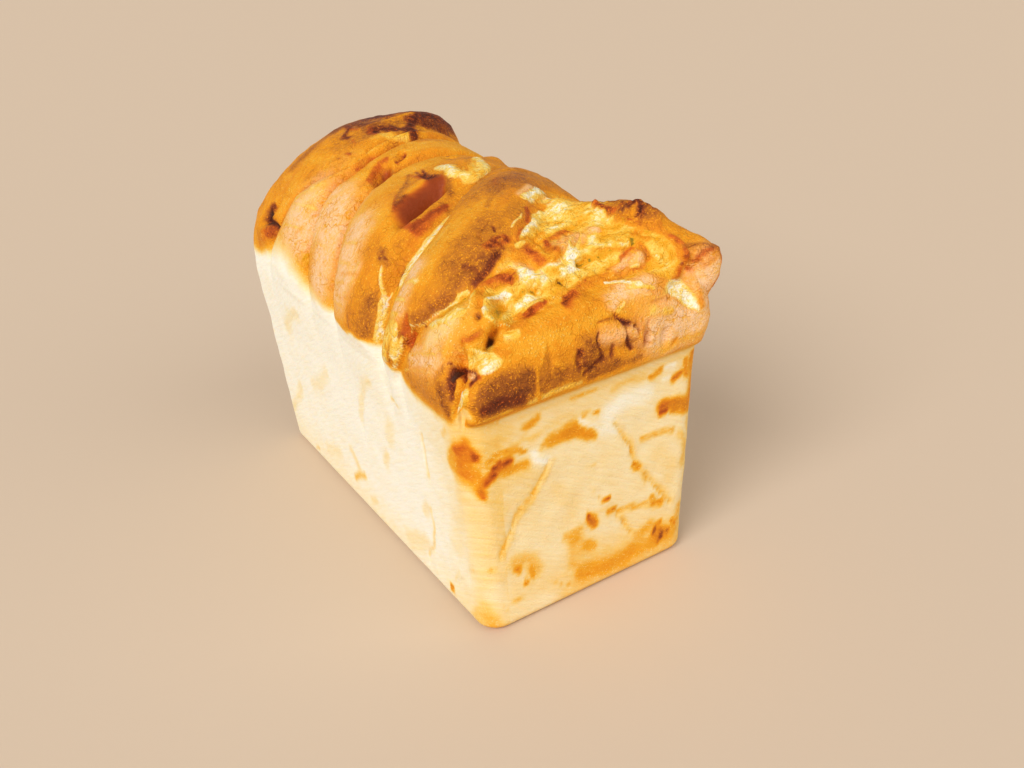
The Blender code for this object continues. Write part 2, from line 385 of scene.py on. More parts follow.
def plain_skin():
    """A grid two units wide with its border drawn down, cut in rows and closed."""
    bpy.ops.mesh.primitive_grid_add(x_subdivisions=ACROSS, y_subdivisions=ALONG, size=2)
    skin = bpy.context.object
    skin.name = "bread"
    bpy.ops.object.mode_set(mode="EDIT")
    bpy.ops.mesh.select_all(action="SELECT")
    bpy.ops.mesh.region_to_loop()
    bpy.ops.mesh.extrude_edges_move(TRANSFORM_OT_translate={"value": (0, 0, -1)})
    bpy.ops.mesh.edge_face_add()
    bpy.ops.object.mode_set(mode="OBJECT")
    height = np.array([vertex.co.z for vertex in skin.data.vertices])
    bpy.ops.object.mode_set(mode="EDIT")
    bpy.ops.mesh.select_mode(type="EDGE")
    bpy.ops.mesh.select_all(action="DESELECT")
    bpy.ops.object.mode_set(mode="OBJECT")
    for edge in skin.data.edges:
        edge.select = abs(height[edge.vertices[0]] - height[edge.vertices[1]]) > 0.5
    bpy.ops.object.mode_set(mode="EDIT")
    bpy.ops.mesh.subdivide(number_cuts=WALL_ROWS - 1)
    bpy.ops.mesh.select_all(action="SELECT")
    bpy.ops.mesh.normals_make_consistent(inside=False)
    bpy.ops.object.mode_set(mode="OBJECT")
    return skin


bread = plain_skin()
flat = np.array([vertex.co[:] for vertex in bread.data.vertices])
S = np.interp((flat[:, 0] + 1) / 2 * ACROSS, *S_ROWS)
T = np.interp((flat[:, 1] + 1) / 2 * ALONG, *T_ROWS)
Z = np.interp((flat[:, 2] + 1) * WALL_ROWS, *Z_ROWS)
ON_TOP = flat[:, 2] > -1e-6
triangles = sum(len(face.vertices) - 2 for face in bread.data.polygons)
print(len(flat), "vertices,", triangles, "triangles,", int(ON_TOP.sum()), "vertices on the crown")

# %% [markdown]
# ## Places on the skin
# Patches are placed with strokes of a soft brush. On the crown a stroke follows places given by s and t, on the walls
# by a wall's name, the distance along it and the height. The places are first warped a little by noise, so that no
# patch has the edge of a perfect ellipse, and warped more on the right and at the back, whose strokes are longer.

# %% Brushes
BASE = crown(S, T)
BASE[~ON_TOP] = wall_skin(S, T, Z, 0.0)[~ON_TOP]
WARP = 0.9
S_WARPED = S + WARP * layered(BASE, 6.0, 11)
T_WARPED = T + WARP * layered(BASE, 6.0, 21)
CROWN_PLACE = np.stack([S_WARPED, T_WARPED], -1)
FAR_SIDE = np.maximum(smooth(20, 48, BASE[:, 0]), smooth(60, 100, BASE[:, 1])) * (BASE[:, 1] > -90)
FAR_WARP = 6.0


def drift(size, seed):
    """Noise in the three directions, which bends what is painted on the walls."""
    return np.stack([layered(BASE, size, seed + 10 * k) for k in range(3)], -1)


WALL_PLACE = BASE + 1.6 * WARP * drift(7.0, 31) + FAR_WARP * FAR_SIDE[:, None] * drift(16.0, 35)


def dab(s0, t0, rs, rt, turn=0.0, hard=3.0):
    """A soft patch on the crown."""
    return spot(S_WARPED, T_WARPED, s0, t0, rs, rt, turn, hard) * ON_TOP


def stroke(place, points, width, hard=2.4):
    """1 on a line through the points and about 0 further from it than the width."""
    nearest = np.full(len(place), 1e9)
    for start, end in zip(points, points[1:] or points):
        start = np.array(start, float)
        run = np.array(end, float) - start
        share = np.clip((place - start) @ run / (run @ run + 1e-9), 0, 1)
        nearest = np.minimum(nearest, np.linalg.norm(place - start - share[:, None] * run, axis=1))
    return np.exp(-((nearest / width) ** hard))


def smear(points, width, hard=3.0):
    """A stroke on the crown."""
    return stroke(CROWN_PLACE, points, width, hard) * ON_TOP


def on_wall(wall, path):
    """Places on a tapered wall from the number along it and the height."""
    places = []
    for along, z in path:
        inwards = TAPER * (1 - z / RIM)
        places.append({
            "front": (along, inwards - HALF_L, z),
            "back": (along, HALF_L - inwards, z),
            "left": (inwards - HALF_W, along, z),
            "right": (HALF_W - inwards, along, z),
        }[wall])
    return places


def wall_line(wall, path, width, hard=3.0):
    """A stroke on a wall."""
    return stroke(WALL_PLACE, on_wall(wall, path), width, hard) * ~ON_TOP


print("brushes ready on", len(S), "vertices")

# %% [markdown]
# ## Where the skin is rough, cheesy or strandy
# The baked surface is not the same everywhere. The valley behind the front roll is melted cheese with folds and
# bubbles; the ridge behind it and the top of the last lobe are rough and flaky; thin strands cross the gap on the
# left. These masks steer both the fine relief and the colours, so that a rough place also looks roughly baked.

# %% Kinds of skin
first, second, third, fourth, fifth, sixth = crease_lines(S)
behind_roll = smooth(0, 4, T - first) * (1 - smooth(-4, 2, T - second))
in_valley = behind_roll * smooth(46, 58, S) * (1 - smooth(124, 134, S)) * ON_TOP
in_valley = np.clip(in_valley + dab(108, 72, 9, 9), 0, 1)
strandy = smooth(-1, 2, T - third) * (1 - smooth(5, 10, T - third)) * (1 - smooth(44, 58, S)) * ON_TOP
ROUGH = (
    # strength, middle s, t, two radii, turn
    (1.0, 131, 62, 12, 8, -35),  # crusty ridge behind the cheese
    (0.8, 122, 70, 9, 6, -40),
    (0.8, 86, 12, 9, 6.5, 0),  # burnt crust of the front roll
    (0.9, 103, 17, 8, 6, 0),
    (0.4, 142, 38, 10, 10, 0),
    (0.9, 108, 198, 18, 12, 0),  # top of the last lobe
    (0.9, 126, 208, 18, 12, 0),
    (0.6, 74, 206, 24, 14, 0),
    (0.9, 73, 66, 7, 4, 10),
    (0.9, 72, 109, 15, 5, 20),
    (0.9, 27, 33, 9, 8, 0),
    (0.9, 26, 217, 9, 8, 0),
    (0.9, 86, 134, 5, 9, 0),
    (0.8, 57, 64, 10, 4, 0),
    (0.7, 150, 150, 16, 12, 0),
    (0.7, 146, 235, 16, 14, 0),
    (0.6, 160, 104, 12, 12, 0),
)
rough = np.clip(sum(strength * dab(*where) for strength, *where in ROUGH), 0, 1)
print("cheese on", int((in_valley > 0.5).sum()), "vertices, rough crust on", int((rough > 0.5).sum()))

# %% [markdown]
# ## Pigments
# Every finer thing on the crown is one stroke with a pigment, a width, a height and a path, as a painter would lay it
# with thick paint: the height raises or sinks the skin under the stroke. A pigment says what the stroke does to the
# values of the finish. Bake is how far the place is baked: 0 is pale dough that the tin kept from browning, 0.45 is
# golden, 0.6 orange-brown, 0.85 dark brown and 1 burnt. Cheese is melted cheese that shows, and curd says whether it
# is white curd or yellow and runny. Red is for torn dough that fried in the cheese's fat. Peach is partly the light,
# thin crust and partly a painted highlight on the slopes that face the light. Burnt is partly dark char and, in holes,
# a painted shade where little light reaches; the hole pigment paints nothing but that shade, and the hollow pigment
# draws the cavities darker, partly as painted shade. Even keeps the fine grain of the crust away, as inside a hollow.

# %% Pigments
PIGMENTS = {
    "white": {"cheese": 1.0, "curd": 0.05, "red": 0.0, "burnt": 0.0, "peach": 0.0},
    "cream": {"cheese": 1.0, "curd": 0.32, "red": 0.0, "burnt": 0.0, "peach": 0.0},
    "yellow": {"cheese": 1.0, "curd": 0.58, "red": 0.0, "burnt": 0.0, "peach": 0.0},
    "amber": {"cheese": 1.0, "curd": 0.76, "red": 0.0, "burnt": 0.0},
    "olive": {"cheese": 1.0, "curd": 1.0, "red": 0.0, "peach": 0.0},
    "pale": {"cheese": 0.0, "bake": 0.2, "red": 0.0, "burnt": 0.0},
    "gold": {"cheese": 0.0, "bake": 0.4, "red": 0.0, "burnt": 0.0, "peach": 0.0},
    "orange": {"cheese": 0.0, "bake": 0.5, "red": 0.4, "burnt": 0.0, "peach": 0.0},
    "red": {"cheese": 0.0, "bake": 0.6, "red": 0.9, "burnt": 0.0, "peach": 0.0},
    "brown": {"cheese": 0.0, "bake": 0.7, "red": 0.2, "burnt": 0.0, "peach": 0.0},
    "dark": {"cheese": 0.0, "bake": 0.86, "red": 0.7, "burnt": 0.15, "peach": 0.0},
    # Painted shade inside holes.
    "hole_shade": {"cheese": 0.0, "bake": 0.95, "burnt": 1.0, "peach": 0.0, "even": 0.8},
    # Red-brown inside the cavities, drawn darker than the crust: partly painted shade.
    "hollow": {"cheese": 0.0, "bake": 0.8, "red": 1.0, "burnt": 0.0, "peach": 0.0, "even": 1.0},
    "peach": {"cheese": 0.0, "bake": 0.36, "peach": 1.0, "red": 0.0, "burnt": 0.0},
}
VALLEY_STROKES = (
    # pigment, strength, width, height, path of s, t
    ("gold", 0.9, 4.5, 0.0, [(58, 27), (80, 27), (100, 27)]),
    ("yellow", 0.7, 5.0, 0.0, [(98, 48), (106, 50), (112, 54), (116, 58)]),
    ("amber", 0.7, 4.0, 0.0, [(100, 66), (108, 64), (114, 60)]),
    ("yellow", 0.5, 2.2, 0.0, [(52, 31), (58, 31)]),
    ("orange", 0.6, 2.6, 0.5, [(60, 31), (80, 29), (96, 30)]),
    ("gold", 0.7, 2.6, 0.3, [(76, 38), (80, 36), (86, 39), (94, 39)]),
    ("orange", 0.8, 2.6, 0.6, [(89, 36), (95, 37), (101, 38)]),
    ("orange", 0.9, 2.0, 0.9, [(82, 32), (87, 34), (90, 36)]),
    ("red", 0.85, 1.6, -0.7, [(82, 33), (85, 35), (88, 36)]),
    ("dark", 0.7, 1.0, -0.6, [(82, 33.5), (84.5, 35)]),
    ("peach", 0.9, 3.2, 0.4, [(100, 29), (108, 31), (116, 31)]),
    ("cream", 0.7, 1.0, 0.3, [(100, 25), (104, 27)]),
    ("white", 0.8, 0.9, 0.9, [(113, 32), (109, 33.5), (105, 35), (102, 36)]),
    ("cream", 0.7, 0.8, 0.6, [(117, 29), (113, 31), (109, 31.5)]),
    ("orange", 0.8, 1.6, 0.4, [(118, 37), (113, 37.4), (108, 38.4)]),
    ("orange", 0.9, 2.0, 0.6, [(104, 39), (98, 40), (92, 39)]),
    ("peach", 0.7, 3.0, 0.9, [(117, 41), (113, 42), (110, 41)]),
    ("white", 0.6, 1.2, 0.6, [(116, 38), (114, 38.5)]),
    ("red", 0.5, 1.0, 0.4, [(118, 44), (115, 43), (112, 44)]),
    ("red", 0.75, 0.8, -0.5, [(118, 46.4), (114, 44.4), (110, 42.4), (106, 41)]),
    ("yellow", 1.0, 3.0, 0.2, [(109, 44.5), (104, 44), (99, 43.5)]),
    ("amber", 0.95, 1.8, 0.3, [(113, 47), (108, 47.5), (104, 48.5), (101, 50)]),
    ("orange", 0.6, 0.8, 0.3, [(114, 46), (109, 49), (105, 50.5)]),
    ("cream", 0.9, 2.8, 0.7, [(97, 50.5), (98, 52)]),
    ("white", 0.95, 1.8, 0.7, [(97, 51), (95, 49)]),
    ("yellow", 0.9, 2.4, 0.2, [(96, 43.5), (93, 42), (89, 41)]),
    ("white", 0.8, 1.8, 0.6, [(95, 46), (92, 46), (89, 46.5)]),
    ("cream", 0.8, 2.2, 0.5, [(91, 44), (88, 47.5), (86, 49)]),
    ("yellow", 0.9, 2.0, 0.2, [(87, 43), (85, 46)]),
    ("amber", 0.9, 1.6, 0.3, [(86, 47), (84, 49)]),
    ("amber", 0.7, 1.4, 0.3, [(84, 39.5), (82, 40.5)]),
    ("yellow", 0.9, 3.0, 0.1, [(81, 42), (78, 40), (74, 40)]),
    ("cream", 0.7, 1.0, 0.6, [(80.5, 43), (81, 46), (80, 48)]),
    ("cream", 0.95, 3.4, 0.9, [(77, 49), (75, 52), (74, 54.5)]),
    ("white", 0.6, 2.0, 0.6, [(77, 51), (74.5, 51)]),
    ("peach", 0.4, 2.0, 0.3, [(78, 53), (75, 56)]),
    ("cream", 0.9, 0.7, 0.8, [(78.5, 43), (79, 45.5), (77.5, 47.6), (75, 48)]),
    ("cream", 0.85, 2.4, 0.5, [(71, 41), (67, 41.5), (64, 42)]),
    ("white", 0.6, 1.0, 0.5, [(69, 42), (65, 41.6)]),
    ("yellow", 0.9, 2.6, 0.2, [(70, 47), (68, 50), (63, 48)]),
    ("amber", 0.8, 1.6, 0.2, [(71, 46), (66, 45)]),
    ("yellow", 0.95, 2.8, 0.1, [(61, 43), (57, 42), (54, 42)]),
    ("white", 0.9, 0.8, 0.9, [(65, 47.5), (63, 49.3), (59, 50), (56, 49.5), (52, 47), (50.5, 44)]),
    ("yellow", 0.9, 1.5, 0.3, [(53, 45), (54, 47.5)]),
    ("cream", 0.9, 1.1, 0.6, [(51, 40.5), (50, 42.5), (50.5, 45)]),
    ("amber", 0.9, 2.0, 0.3, [(63, 53), (57, 53), (54, 54)]),
    ("orange", 0.9, 1.4, 0.8, [(63, 34), (57, 34.5), (54, 36.4), (51.5, 38.6)]),
    ("cream", 0.8, 0.5, 0.6, [(56, 35.4), (53, 37.4), (51, 39.4)]),
    ("yellow", 0.8, 1.6, 0.2, [(58, 32), (53, 33)]),
    ("orange", 0.9, 2.8, 0.6, [(75, 37), (70, 36.5), (64, 36.5)]),
    ("red", 0.95, 1.7, -0.6, [(74, 37.4), (70, 36.8), (66, 36.2)]),
    ("dark", 0.45, 0.9, -0.5, [(69.5, 36.4), (66.5, 36)]),
    ("cream", 0.5, 0.7, 0.4, [(75, 38.6), (70, 39), (65, 38.4)]),
    ("orange", 0.95, 3.0, 0.8, [(70, 54), (66, 54.5), (62, 55)]),
    ("red", 0.95, 1.8, 0.7, [(68.4, 51.6), (67.6, 54), (65, 55)]),
    ("dark", 0.6, 0.7, -0.5, [(68.6, 52.4), (67.4, 53.6)]),
    ("red", 0.8, 1.2, 0.5, [(63, 55.6), (60, 56.4), (57, 57)]),
    ("orange", 0.9, 4.4, 1.0, [(79, 59), (84, 57), (89, 55)]),
    ("red", 0.75, 2.2, 0.7, [(84, 53.5), (84, 57), (83, 59)]),
    ("red", 0.5, 1.4, 0.5, [(88, 61), (83, 63)]),
    ("gold", 0.7, 1.2, 0.6, [(88, 52), (87, 56), (88, 60)]),
    ("peach", 0.45, 3.4, 0.9, [(96, 57), (101, 58), (106, 58), (112, 59)]),
    ("red", 0.75, 1.4, 0.5, [(92, 54.5), (91.6, 58), (93, 62)]),
    ("red", 0.7, 1.5, 0.5, [(96, 62.6), (101, 63.4), (105, 63.4)]),
    ("brown", 0.5, 0.9, -0.5, [(91.6, 55), (91.4, 59)]),
    ("brown", 0.35, 0.8, -0.3, [(96, 58), (99, 61)]),
    ("brown", 0.35, 0.7, -0.3, [(99, 57), (103, 61)]),
    ("peach", 0.8, 3.0, 0.5, [(114, 60), (116, 62)]),
    ("amber", 0.9, 2.6, 0.4, [(117, 53), (113, 53.5), (110, 55)]),
    ("cream", 0.8, 1.4, 0.6, [(108, 54.5), (106, 52), (109, 56)]),
    ("yellow", 0.9, 2.8, 0.3, [(121, 57), (118, 58.5)]),
    ("white", 0.6, 0.9, 0.5, [(119, 61), (121, 62.5)]),
    ("cream", 0.9, 0.8, 0.9, [(116, 47.4), (111, 49.4), (107, 51)]),
    ("cream", 0.85, 0.7, 0.8, [(117, 48.4), (119.4, 52), (122, 56)]),
    ("yellow", 0.8, 0.8, 0.6, [(116.6, 50), (119, 54)]),
    ("amber", 1.0, 6.2, 0.5, [(126, 36), (127, 44), (126, 50), (122, 55)]),
    ("yellow", 0.95, 3.0, 0.6, [(127, 35), (125, 38), (123.6, 42)]),
    ("cream", 0.35, 1.0, 0.4, [(124, 37), (122.6, 41)]),
    ("orange", 0.7, 2.0, 0.4, [(124, 48), (121, 51), (124, 53)]),
    ("orange", 0.85, 1.6, -0.6, [(120.4, 39.4), (120.6, 43), (120.2, 46)]),
    ("brown", 0.7, 0.7, -0.5, [(120.2, 40), (120.3, 45.6)]),
    ("orange", 0.9, 1.7, 1.2, [(124, 29), (129, 31.6), (133, 34.4), (134, 38)]),
    ("red", 0.8, 0.9, 0.3, [(123, 28), (128, 30.6), (131, 32.6)]),
    ("orange", 0.95, 2.4, 1.2, [(133, 38), (134, 43), (132, 49), (131, 54)]),
    ("red", 0.7, 1.1, 0.6, [(133.6, 36), (134.4, 42), (132, 47)]),
    ("dark", 0.6, 0.8, 0.5, [(131.6, 34.6)]),
    ("dark", 0.6, 0.7, 0.5, [(133, 37.4)]),
    ("orange", 0.8, 2.0, 0.8, [(129, 52), (127, 55), (125, 58)]),
    ("brown", 0.9, 2.2, 1.6, [(131, 56), (129, 59), (126, 62)]),
    ("dark", 0.85, 1.4, 0.5, [(128, 58), (128.4, 59.4)]),
    ("dark", 0.8, 1.3, 0.4, [(127, 61)]),
    ("dark", 0.8, 1.4, 0.5, [(132, 59)]),
    ("dark", 0.7, 1.2, 0.4, [(125, 63)]),
    ("gold", 0.8, 1.0, 0.6, [(129.6, 61)]),
    ("gold", 0.7, 1.0, 0.6, [(126.4, 59)]),
    ("red", 0.9, 1.0, 0.9, [(123, 64), (122, 67), (122, 72)]),
    ("dark", 0.6, 0.7, -0.5, [(122.6, 65), (121.8, 70)]),
    ("brown", 0.7, 2.2, 0.9, [(128, 68), (125, 74), (122, 80)]),
    ("cream", 0.9, 2.4, 0.4, [(119, 66), (118, 69)]),
    ("yellow", 0.9, 2.6, 0.3, [(116, 61), (114, 65), (112, 67)]),
    ("amber", 0.95, 1.6, 0.3, [(113, 65), (114, 69), (112, 73)]),
    ("yellow", 0.95, 3.6, 0.4, [(111, 71), (106, 70), (101, 68.5), (97, 67.5)]),
    ("cream", 0.8, 1.4, 0.5, [(108, 67), (103, 66.4), (98, 66)]),
    ("yellow", 0.8, 1.4, 0.2, [(95, 66), (90, 64.4)]),
    ("cream", 0.6, 2.6, 0.6, [(113, 76), (109, 77), (105, 76)]),
    ("cream", 0.8, 1.4, 0.6, [(112, 73.6), (107, 73.4)]),
    ("orange", 0.85, 1.8, 0.5, [(107, 81), (103, 80), (99, 78)]),
    ("cream", 0.95, 1.8, 0.8, [(100, 83), (104, 85), (109, 89), (114, 93)]),
    ("white", 0.7, 0.8, 0.7, [(102, 83.4), (107, 87), (112, 91)]),
    ("peach", 0.7, 1.4, 0.5, [(99, 85), (104, 88), (109, 92)]),
    ("cream", 0.9, 0.9, 0.9, [(82, 65.4), (88, 66.6), (94, 69.4), (100, 74), (104, 78)]),
    ("white", 0.7, 0.5, 0.6, [(86, 67), (92, 69.4), (97, 73)]),
    ("cream", 0.7, 0.7, 0.6, [(84, 69), (89, 71.6), (93, 74.4)]),
    ("orange", 0.9, 1.3, 0.5, [(79, 64.6), (86, 68), (91, 71), (96, 75.4), (101, 80)]),
    ("red", 0.9, 0.9, 0.4, [(92, 71), (94.6, 73.4), (97, 77)]),
    ("red", 0.6, 0.6, -0.3, [(82, 64.4), (88, 68.4)]),
    ("cream", 0.8, 1.0, 0.5, [(80, 62.6), (84, 62.4)]),
    ("gold", 0.8, 1.6, 0.4, [(86, 62.6), (91, 64), (95, 66)]),
)
# Bubbles in the cheese; the hole strokes in them are painted shade.
HOLE_STROKES = (
    ("olive", 0.95, 2.0, -0.9, [(59, 46), (56, 43), (53.6, 41)]),
    ("hole_shade", 0.4, 1.0, -0.6, [(58, 45), (54.6, 41.4)]),
    ("olive", 1.0, 1.5, -1.2, [(74.6, 44), (74, 44.6)]),
    ("hole_shade", 0.45, 0.9, -0.6, [(74.4, 44.4)]),
    ("olive", 0.9, 0.9, -0.7, [(86.4, 41.6), (85.2, 43.6)]),
    ("hole_shade", 0.8, 0.6, -0.5, [(86.4, 41.8), (85.4, 43.2)]),
    ("olive", 0.95, 1.1, -0.9, [(97.6, 47.6), (100, 47.4), (103, 47.8)]),
    ("brown", 0.4, 0.6, -0.5, [(98, 48.4), (102, 48.4)]),
    ("olive", 0.9, 1.0, -0.8, [(118, 47.4), (118.6, 49.4)]),
    ("brown", 0.9, 1.6, -0.8, [(47, 44.4), (47.4, 45)]),
    ("hole_shade", 0.5, 1.0, -0.8, [(47.4, 44.6)]),
    ("hole_shade", 1.0, 1.7, -2.4, [(46.6, 35.6), (44, 33.6)]),
    # painted shadow beside the deep hole
    ("brown", 0.8, 1.2, -0.3, [(50.6, 37.4), (48, 37)]),
    ("olive", 0.5, 1.2, 0.0, [(52, 38), (50, 38.6)]),
    ("hole_shade", 0.75, 0.5, -0.4, [(93.4, 43.7)]),
    ("hole_shade", 0.5, 0.4, -0.3, [(91, 44.4)]),
    ("hole_shade", 0.5, 0.45, -0.4, [(93, 46.3)]),
    ("olive", 0.9, 0.9, -0.5, [(107.6, 69.4)]),
    ("hole_shade", 0.6, 0.6, -0.4, [(107.6, 69.4)]),
    ("olive", 0.9, 0.8, -0.5, [(105.6, 69.8)]),
    ("hole_shade", 0.7, 0.55, -0.4, [(105.6, 69.8)]),
    ("olive", 0.9, 0.9, -0.5, [(103.4, 69.8)]),
    ("hole_shade", 0.65, 0.6, -0.4, [(103.4, 69.8)]),
    ("hole_shade", 0.6, 0.55, -0.4, [(99.6, 68)]),
    ("hole_shade", 0.5, 0.5, -0.4, [(97.4, 67.4)]),
    ("hole_shade", 0.5, 0.5, -0.3, [(110, 71)]),
    ("hole_shade", 0.4, 0.4, -0.3, [(70, 42)]),
    ("hole_shade", 0.4, 0.4, -0.3, [(67, 42.8)]),
    ("hole_shade", 0.35, 0.4, -0.3, [(77, 41)]),
    ("hole_shade", 0.35, 0.4, -0.3, [(72, 40)]),
    ("hole_shade", 0.35, 0.4, -0.3, [(89, 49)]),
)
print(len(VALLEY_STROKES), "strokes in the valley and", len(HOLE_STROKES), "holes")

# %% [markdown]
# ## Strokes of the front roll and the lobes
# The front roll is dark and glossy at its left end, rough and nearly burnt beside it, cracked further on, and pale at
# its right end below the white hollow beside the ear, where a painted highlight in peach lies on it too. The lobes
# behind are browner on top and lighter on their left, where painted highlights in peach and cream lie on the slopes
# that face the light.

# %% Strokes of the lobes
ROLL_STROKES = (
    ("amber", 0.7, 3.0, 0.0, [(22, 3), (34, 3), (46, 3.5)]),
    ("yellow", 0.7, 1.8, 0.0, [(56, 5), (68, 6), (80, 6)]),
    ("dark", 0.85, 3.0, 0.0, [(52, 8), (44, 9.4), (36, 10), (28, 10)]),
    ("dark", 0.5, 1.6, 0.0, [(45, 9.6), (36, 10.6), (28, 9.6)]),
    ("dark", 0.5, 2.4, 0.0, [(55, 11), (48, 14), (42, 13)]),
    ("brown", 0.85, 4.4, 0.0, [(58, 12), (50, 15.6), (40, 17), (30, 16)]),
    ("brown", 0.7, 1.6, 0.0, [(59, 16), (57, 17)]),
    ("gold", 0.75, 0.8, 0.3, [(60.6, 5), (60.8, 11), (61, 17)]),
    ("brown", 0.4, 2.6, 0.0, [(64, 9), (65, 14), (65.4, 19)]),
    ("gold", 0.7, 0.6, 0.3, [(63, 18), (65, 20.6), (67, 23)]),
    ("brown", 0.3, 0.6, -0.3, [(66, 10), (67, 15), (68.2, 20), (68, 23)]),
    ("brown", 0.75, 3.0, 0.0, [(69, 10), (73, 11), (78, 10)]),
    ("gold", 0.7, 0.7, 0.3, [(73, 13.4), (71, 15), (69, 17)]),
    ("orange", 0.6, 2.0, 0.0, [(75, 18), (72, 22)]),
    ("dark", 0.7, 1.2, -0.7, [(80, 11.6), (79.4, 14), (80.6, 17)]),
    ("dark", 0.7, 1.3, -0.6, [(82.4, 8.8), (86, 10.6), (89.6, 12)]),
    ("dark", 0.6, 1.2, 0.4, [(82.6, 12), (82.2, 15), (80.4, 17.6)]),
    ("dark", 0.6, 1.2, -0.5, [(91, 11), (90, 14)]),
    ("dark", 0.75, 1.0, -0.5, [(94, 11.4), (94.6, 13.6), (95.4, 15)]),
    ("brown", 0.8, 2.0, 0.3, [(86, 8), (92, 9), (97, 9)]),
    ("brown", 0.55, 3.0, 0.3, [(84, 16), (88, 18), (84, 20)]),
    # painted shade: a thin darker line along the lower edge of the roll
    ("brown", 0.7, 1.1, -0.2, [(84, 6.4), (96, 6.4), (108, 7)]),
    ("gold", 0.7, 1.6, 0.0, [(98, 12), (104, 10)]),
    ("peach", 0.5, 3.0, 0.2, [(96, 18.6), (99, 18), (93, 19)]),
    ("dark", 0.9, 0.45, -1.0, [(90.2, 15), (89.2, 17), (89.2, 19.4), (90.8, 20.8)]),
    ("brown", 0.8, 0.4, -0.8, [(91, 23.6), (96, 24), (99.6, 22.6)]),
    ("dark", 1.0, 0.9, -0.8, [(103, 11.6), (102, 13.6), (101.4, 15.8)]),
    ("dark", 1.0, 1.1, -0.8, [(104, 20.2), (102, 20.8), (101.4, 21.6)]),
    ("dark", 0.85, 0.5, -0.9, [(101.4, 21.6), (100, 23), (98.6, 24.2)]),
    ("brown", 0.8, 0.5, -0.8, [(102, 16.4), (102, 19.4)]),
    ("dark", 0.9, 0.5, -0.9, [(107.4, 19.2), (105.8, 19)]),
    ("brown", 0.85, 0.5, -0.8, [(107.4, 16), (107, 19)]),
    ("brown", 0.8, 0.4, -0.7, [(106, 14.2), (103.6, 14)]),
    ("orange", 0.8, 0.9, 0.6, [(108.6, 12), (108.2, 15), (109.4, 17.6)]),
    ("peach", 0.5, 1.8, 0.2, [(105, 16.6), (104, 18)]),
    ("red", 1.0, 2.0, -0.9, [(111, 12.6), (111.4, 14.4)]),
    ("dark", 0.5, 1.2, -0.6, [(110.4, 12.4), (111.6, 14.6)]),
    ("gold", 0.9, 0.5, 0.8, [(113.2, 11.4), (113.4, 14), (112.4, 16.4)]),
    ("brown", 0.7, 0.5, -0.5, [(111.4, 17), (112.4, 19)]),
    ("orange", 0.5, 1.0, 0.2, [(110.6, 17.6), (108.8, 18.6)]),
    ("peach", 0.9, 6.0, 0.0, [(116, 14), (124, 15), (130, 14)]),
    ("cream", 0.5, 2.0, 0.3, [(114, 22), (118, 21), (122, 20)]),
    ("gold", 0.8, 2.0, 0.0, [(118, 7), (128, 7.6), (138, 7.6)]),
    ("orange", 0.8, 1.0, -0.3, [(122.4, 7.6), (124, 8.8)]),
    ("brown", 0.5, 0.5, -0.3, [(115, 25), (120, 24.4), (123, 23.6)]),
    ("cream", 0.9, 3.6, -2.0, [(131, 22), (128, 26), (125.6, 27)]),
    ("white", 1.0, 2.4, -0.8, [(132, 20), (128.4, 25), (125, 27)]),
    ("white", 0.8, 1.2, 0.0, [(135, 16), (132, 20)]),
    ("orange", 0.9, 1.6, 1.1, [(136.4, 19), (137, 25), (135.6, 30)]),
    ("red", 0.95, 1.4, -0.5, [(136.6, 32), (134.6, 32.4)]),
    ("peach", 0.95, 5.4, 0.0, [(141, 30), (148, 33), (145, 37)]),
    ("red", 0.8, 1.2, 0.4, [(137, 36), (141, 40), (147, 42.6)]),
    ("orange", 0.8, 1.8, 0.4, [(141, 35), (144, 38), (147, 41)]),
    ("brown", 0.7, 1.0, 0.7, [(134, 41.5), (140, 42.5), (147, 42)]),
    ("red", 0.7, 1.0, 0.5, [(151, 28), (151, 34), (149, 41)]),
    ("orange", 0.6, 2.0, 0.0, [(126, 3.5), (138, 3.5), (150, 4)]),
    ("cream", 0.9, 2.6, 0.4, [(10, 22), (16, 23), (22, 24)]),
    ("white", 0.8, 1.0, 0.5, [(6, 24), (14, 25.4), (20, 26.4)]),
    ("orange", 0.6, 0.6, 0.3, [(8, 26), (16, 27.6), (22, 28.4)]),
    ("amber", 0.7, 2.0, 0.0, [(6, 17), (14, 19), (20, 20)]),
    ("brown", 0.6, 2.4, 0.0, [(14, 10), (20, 12), (24, 14)]),
)
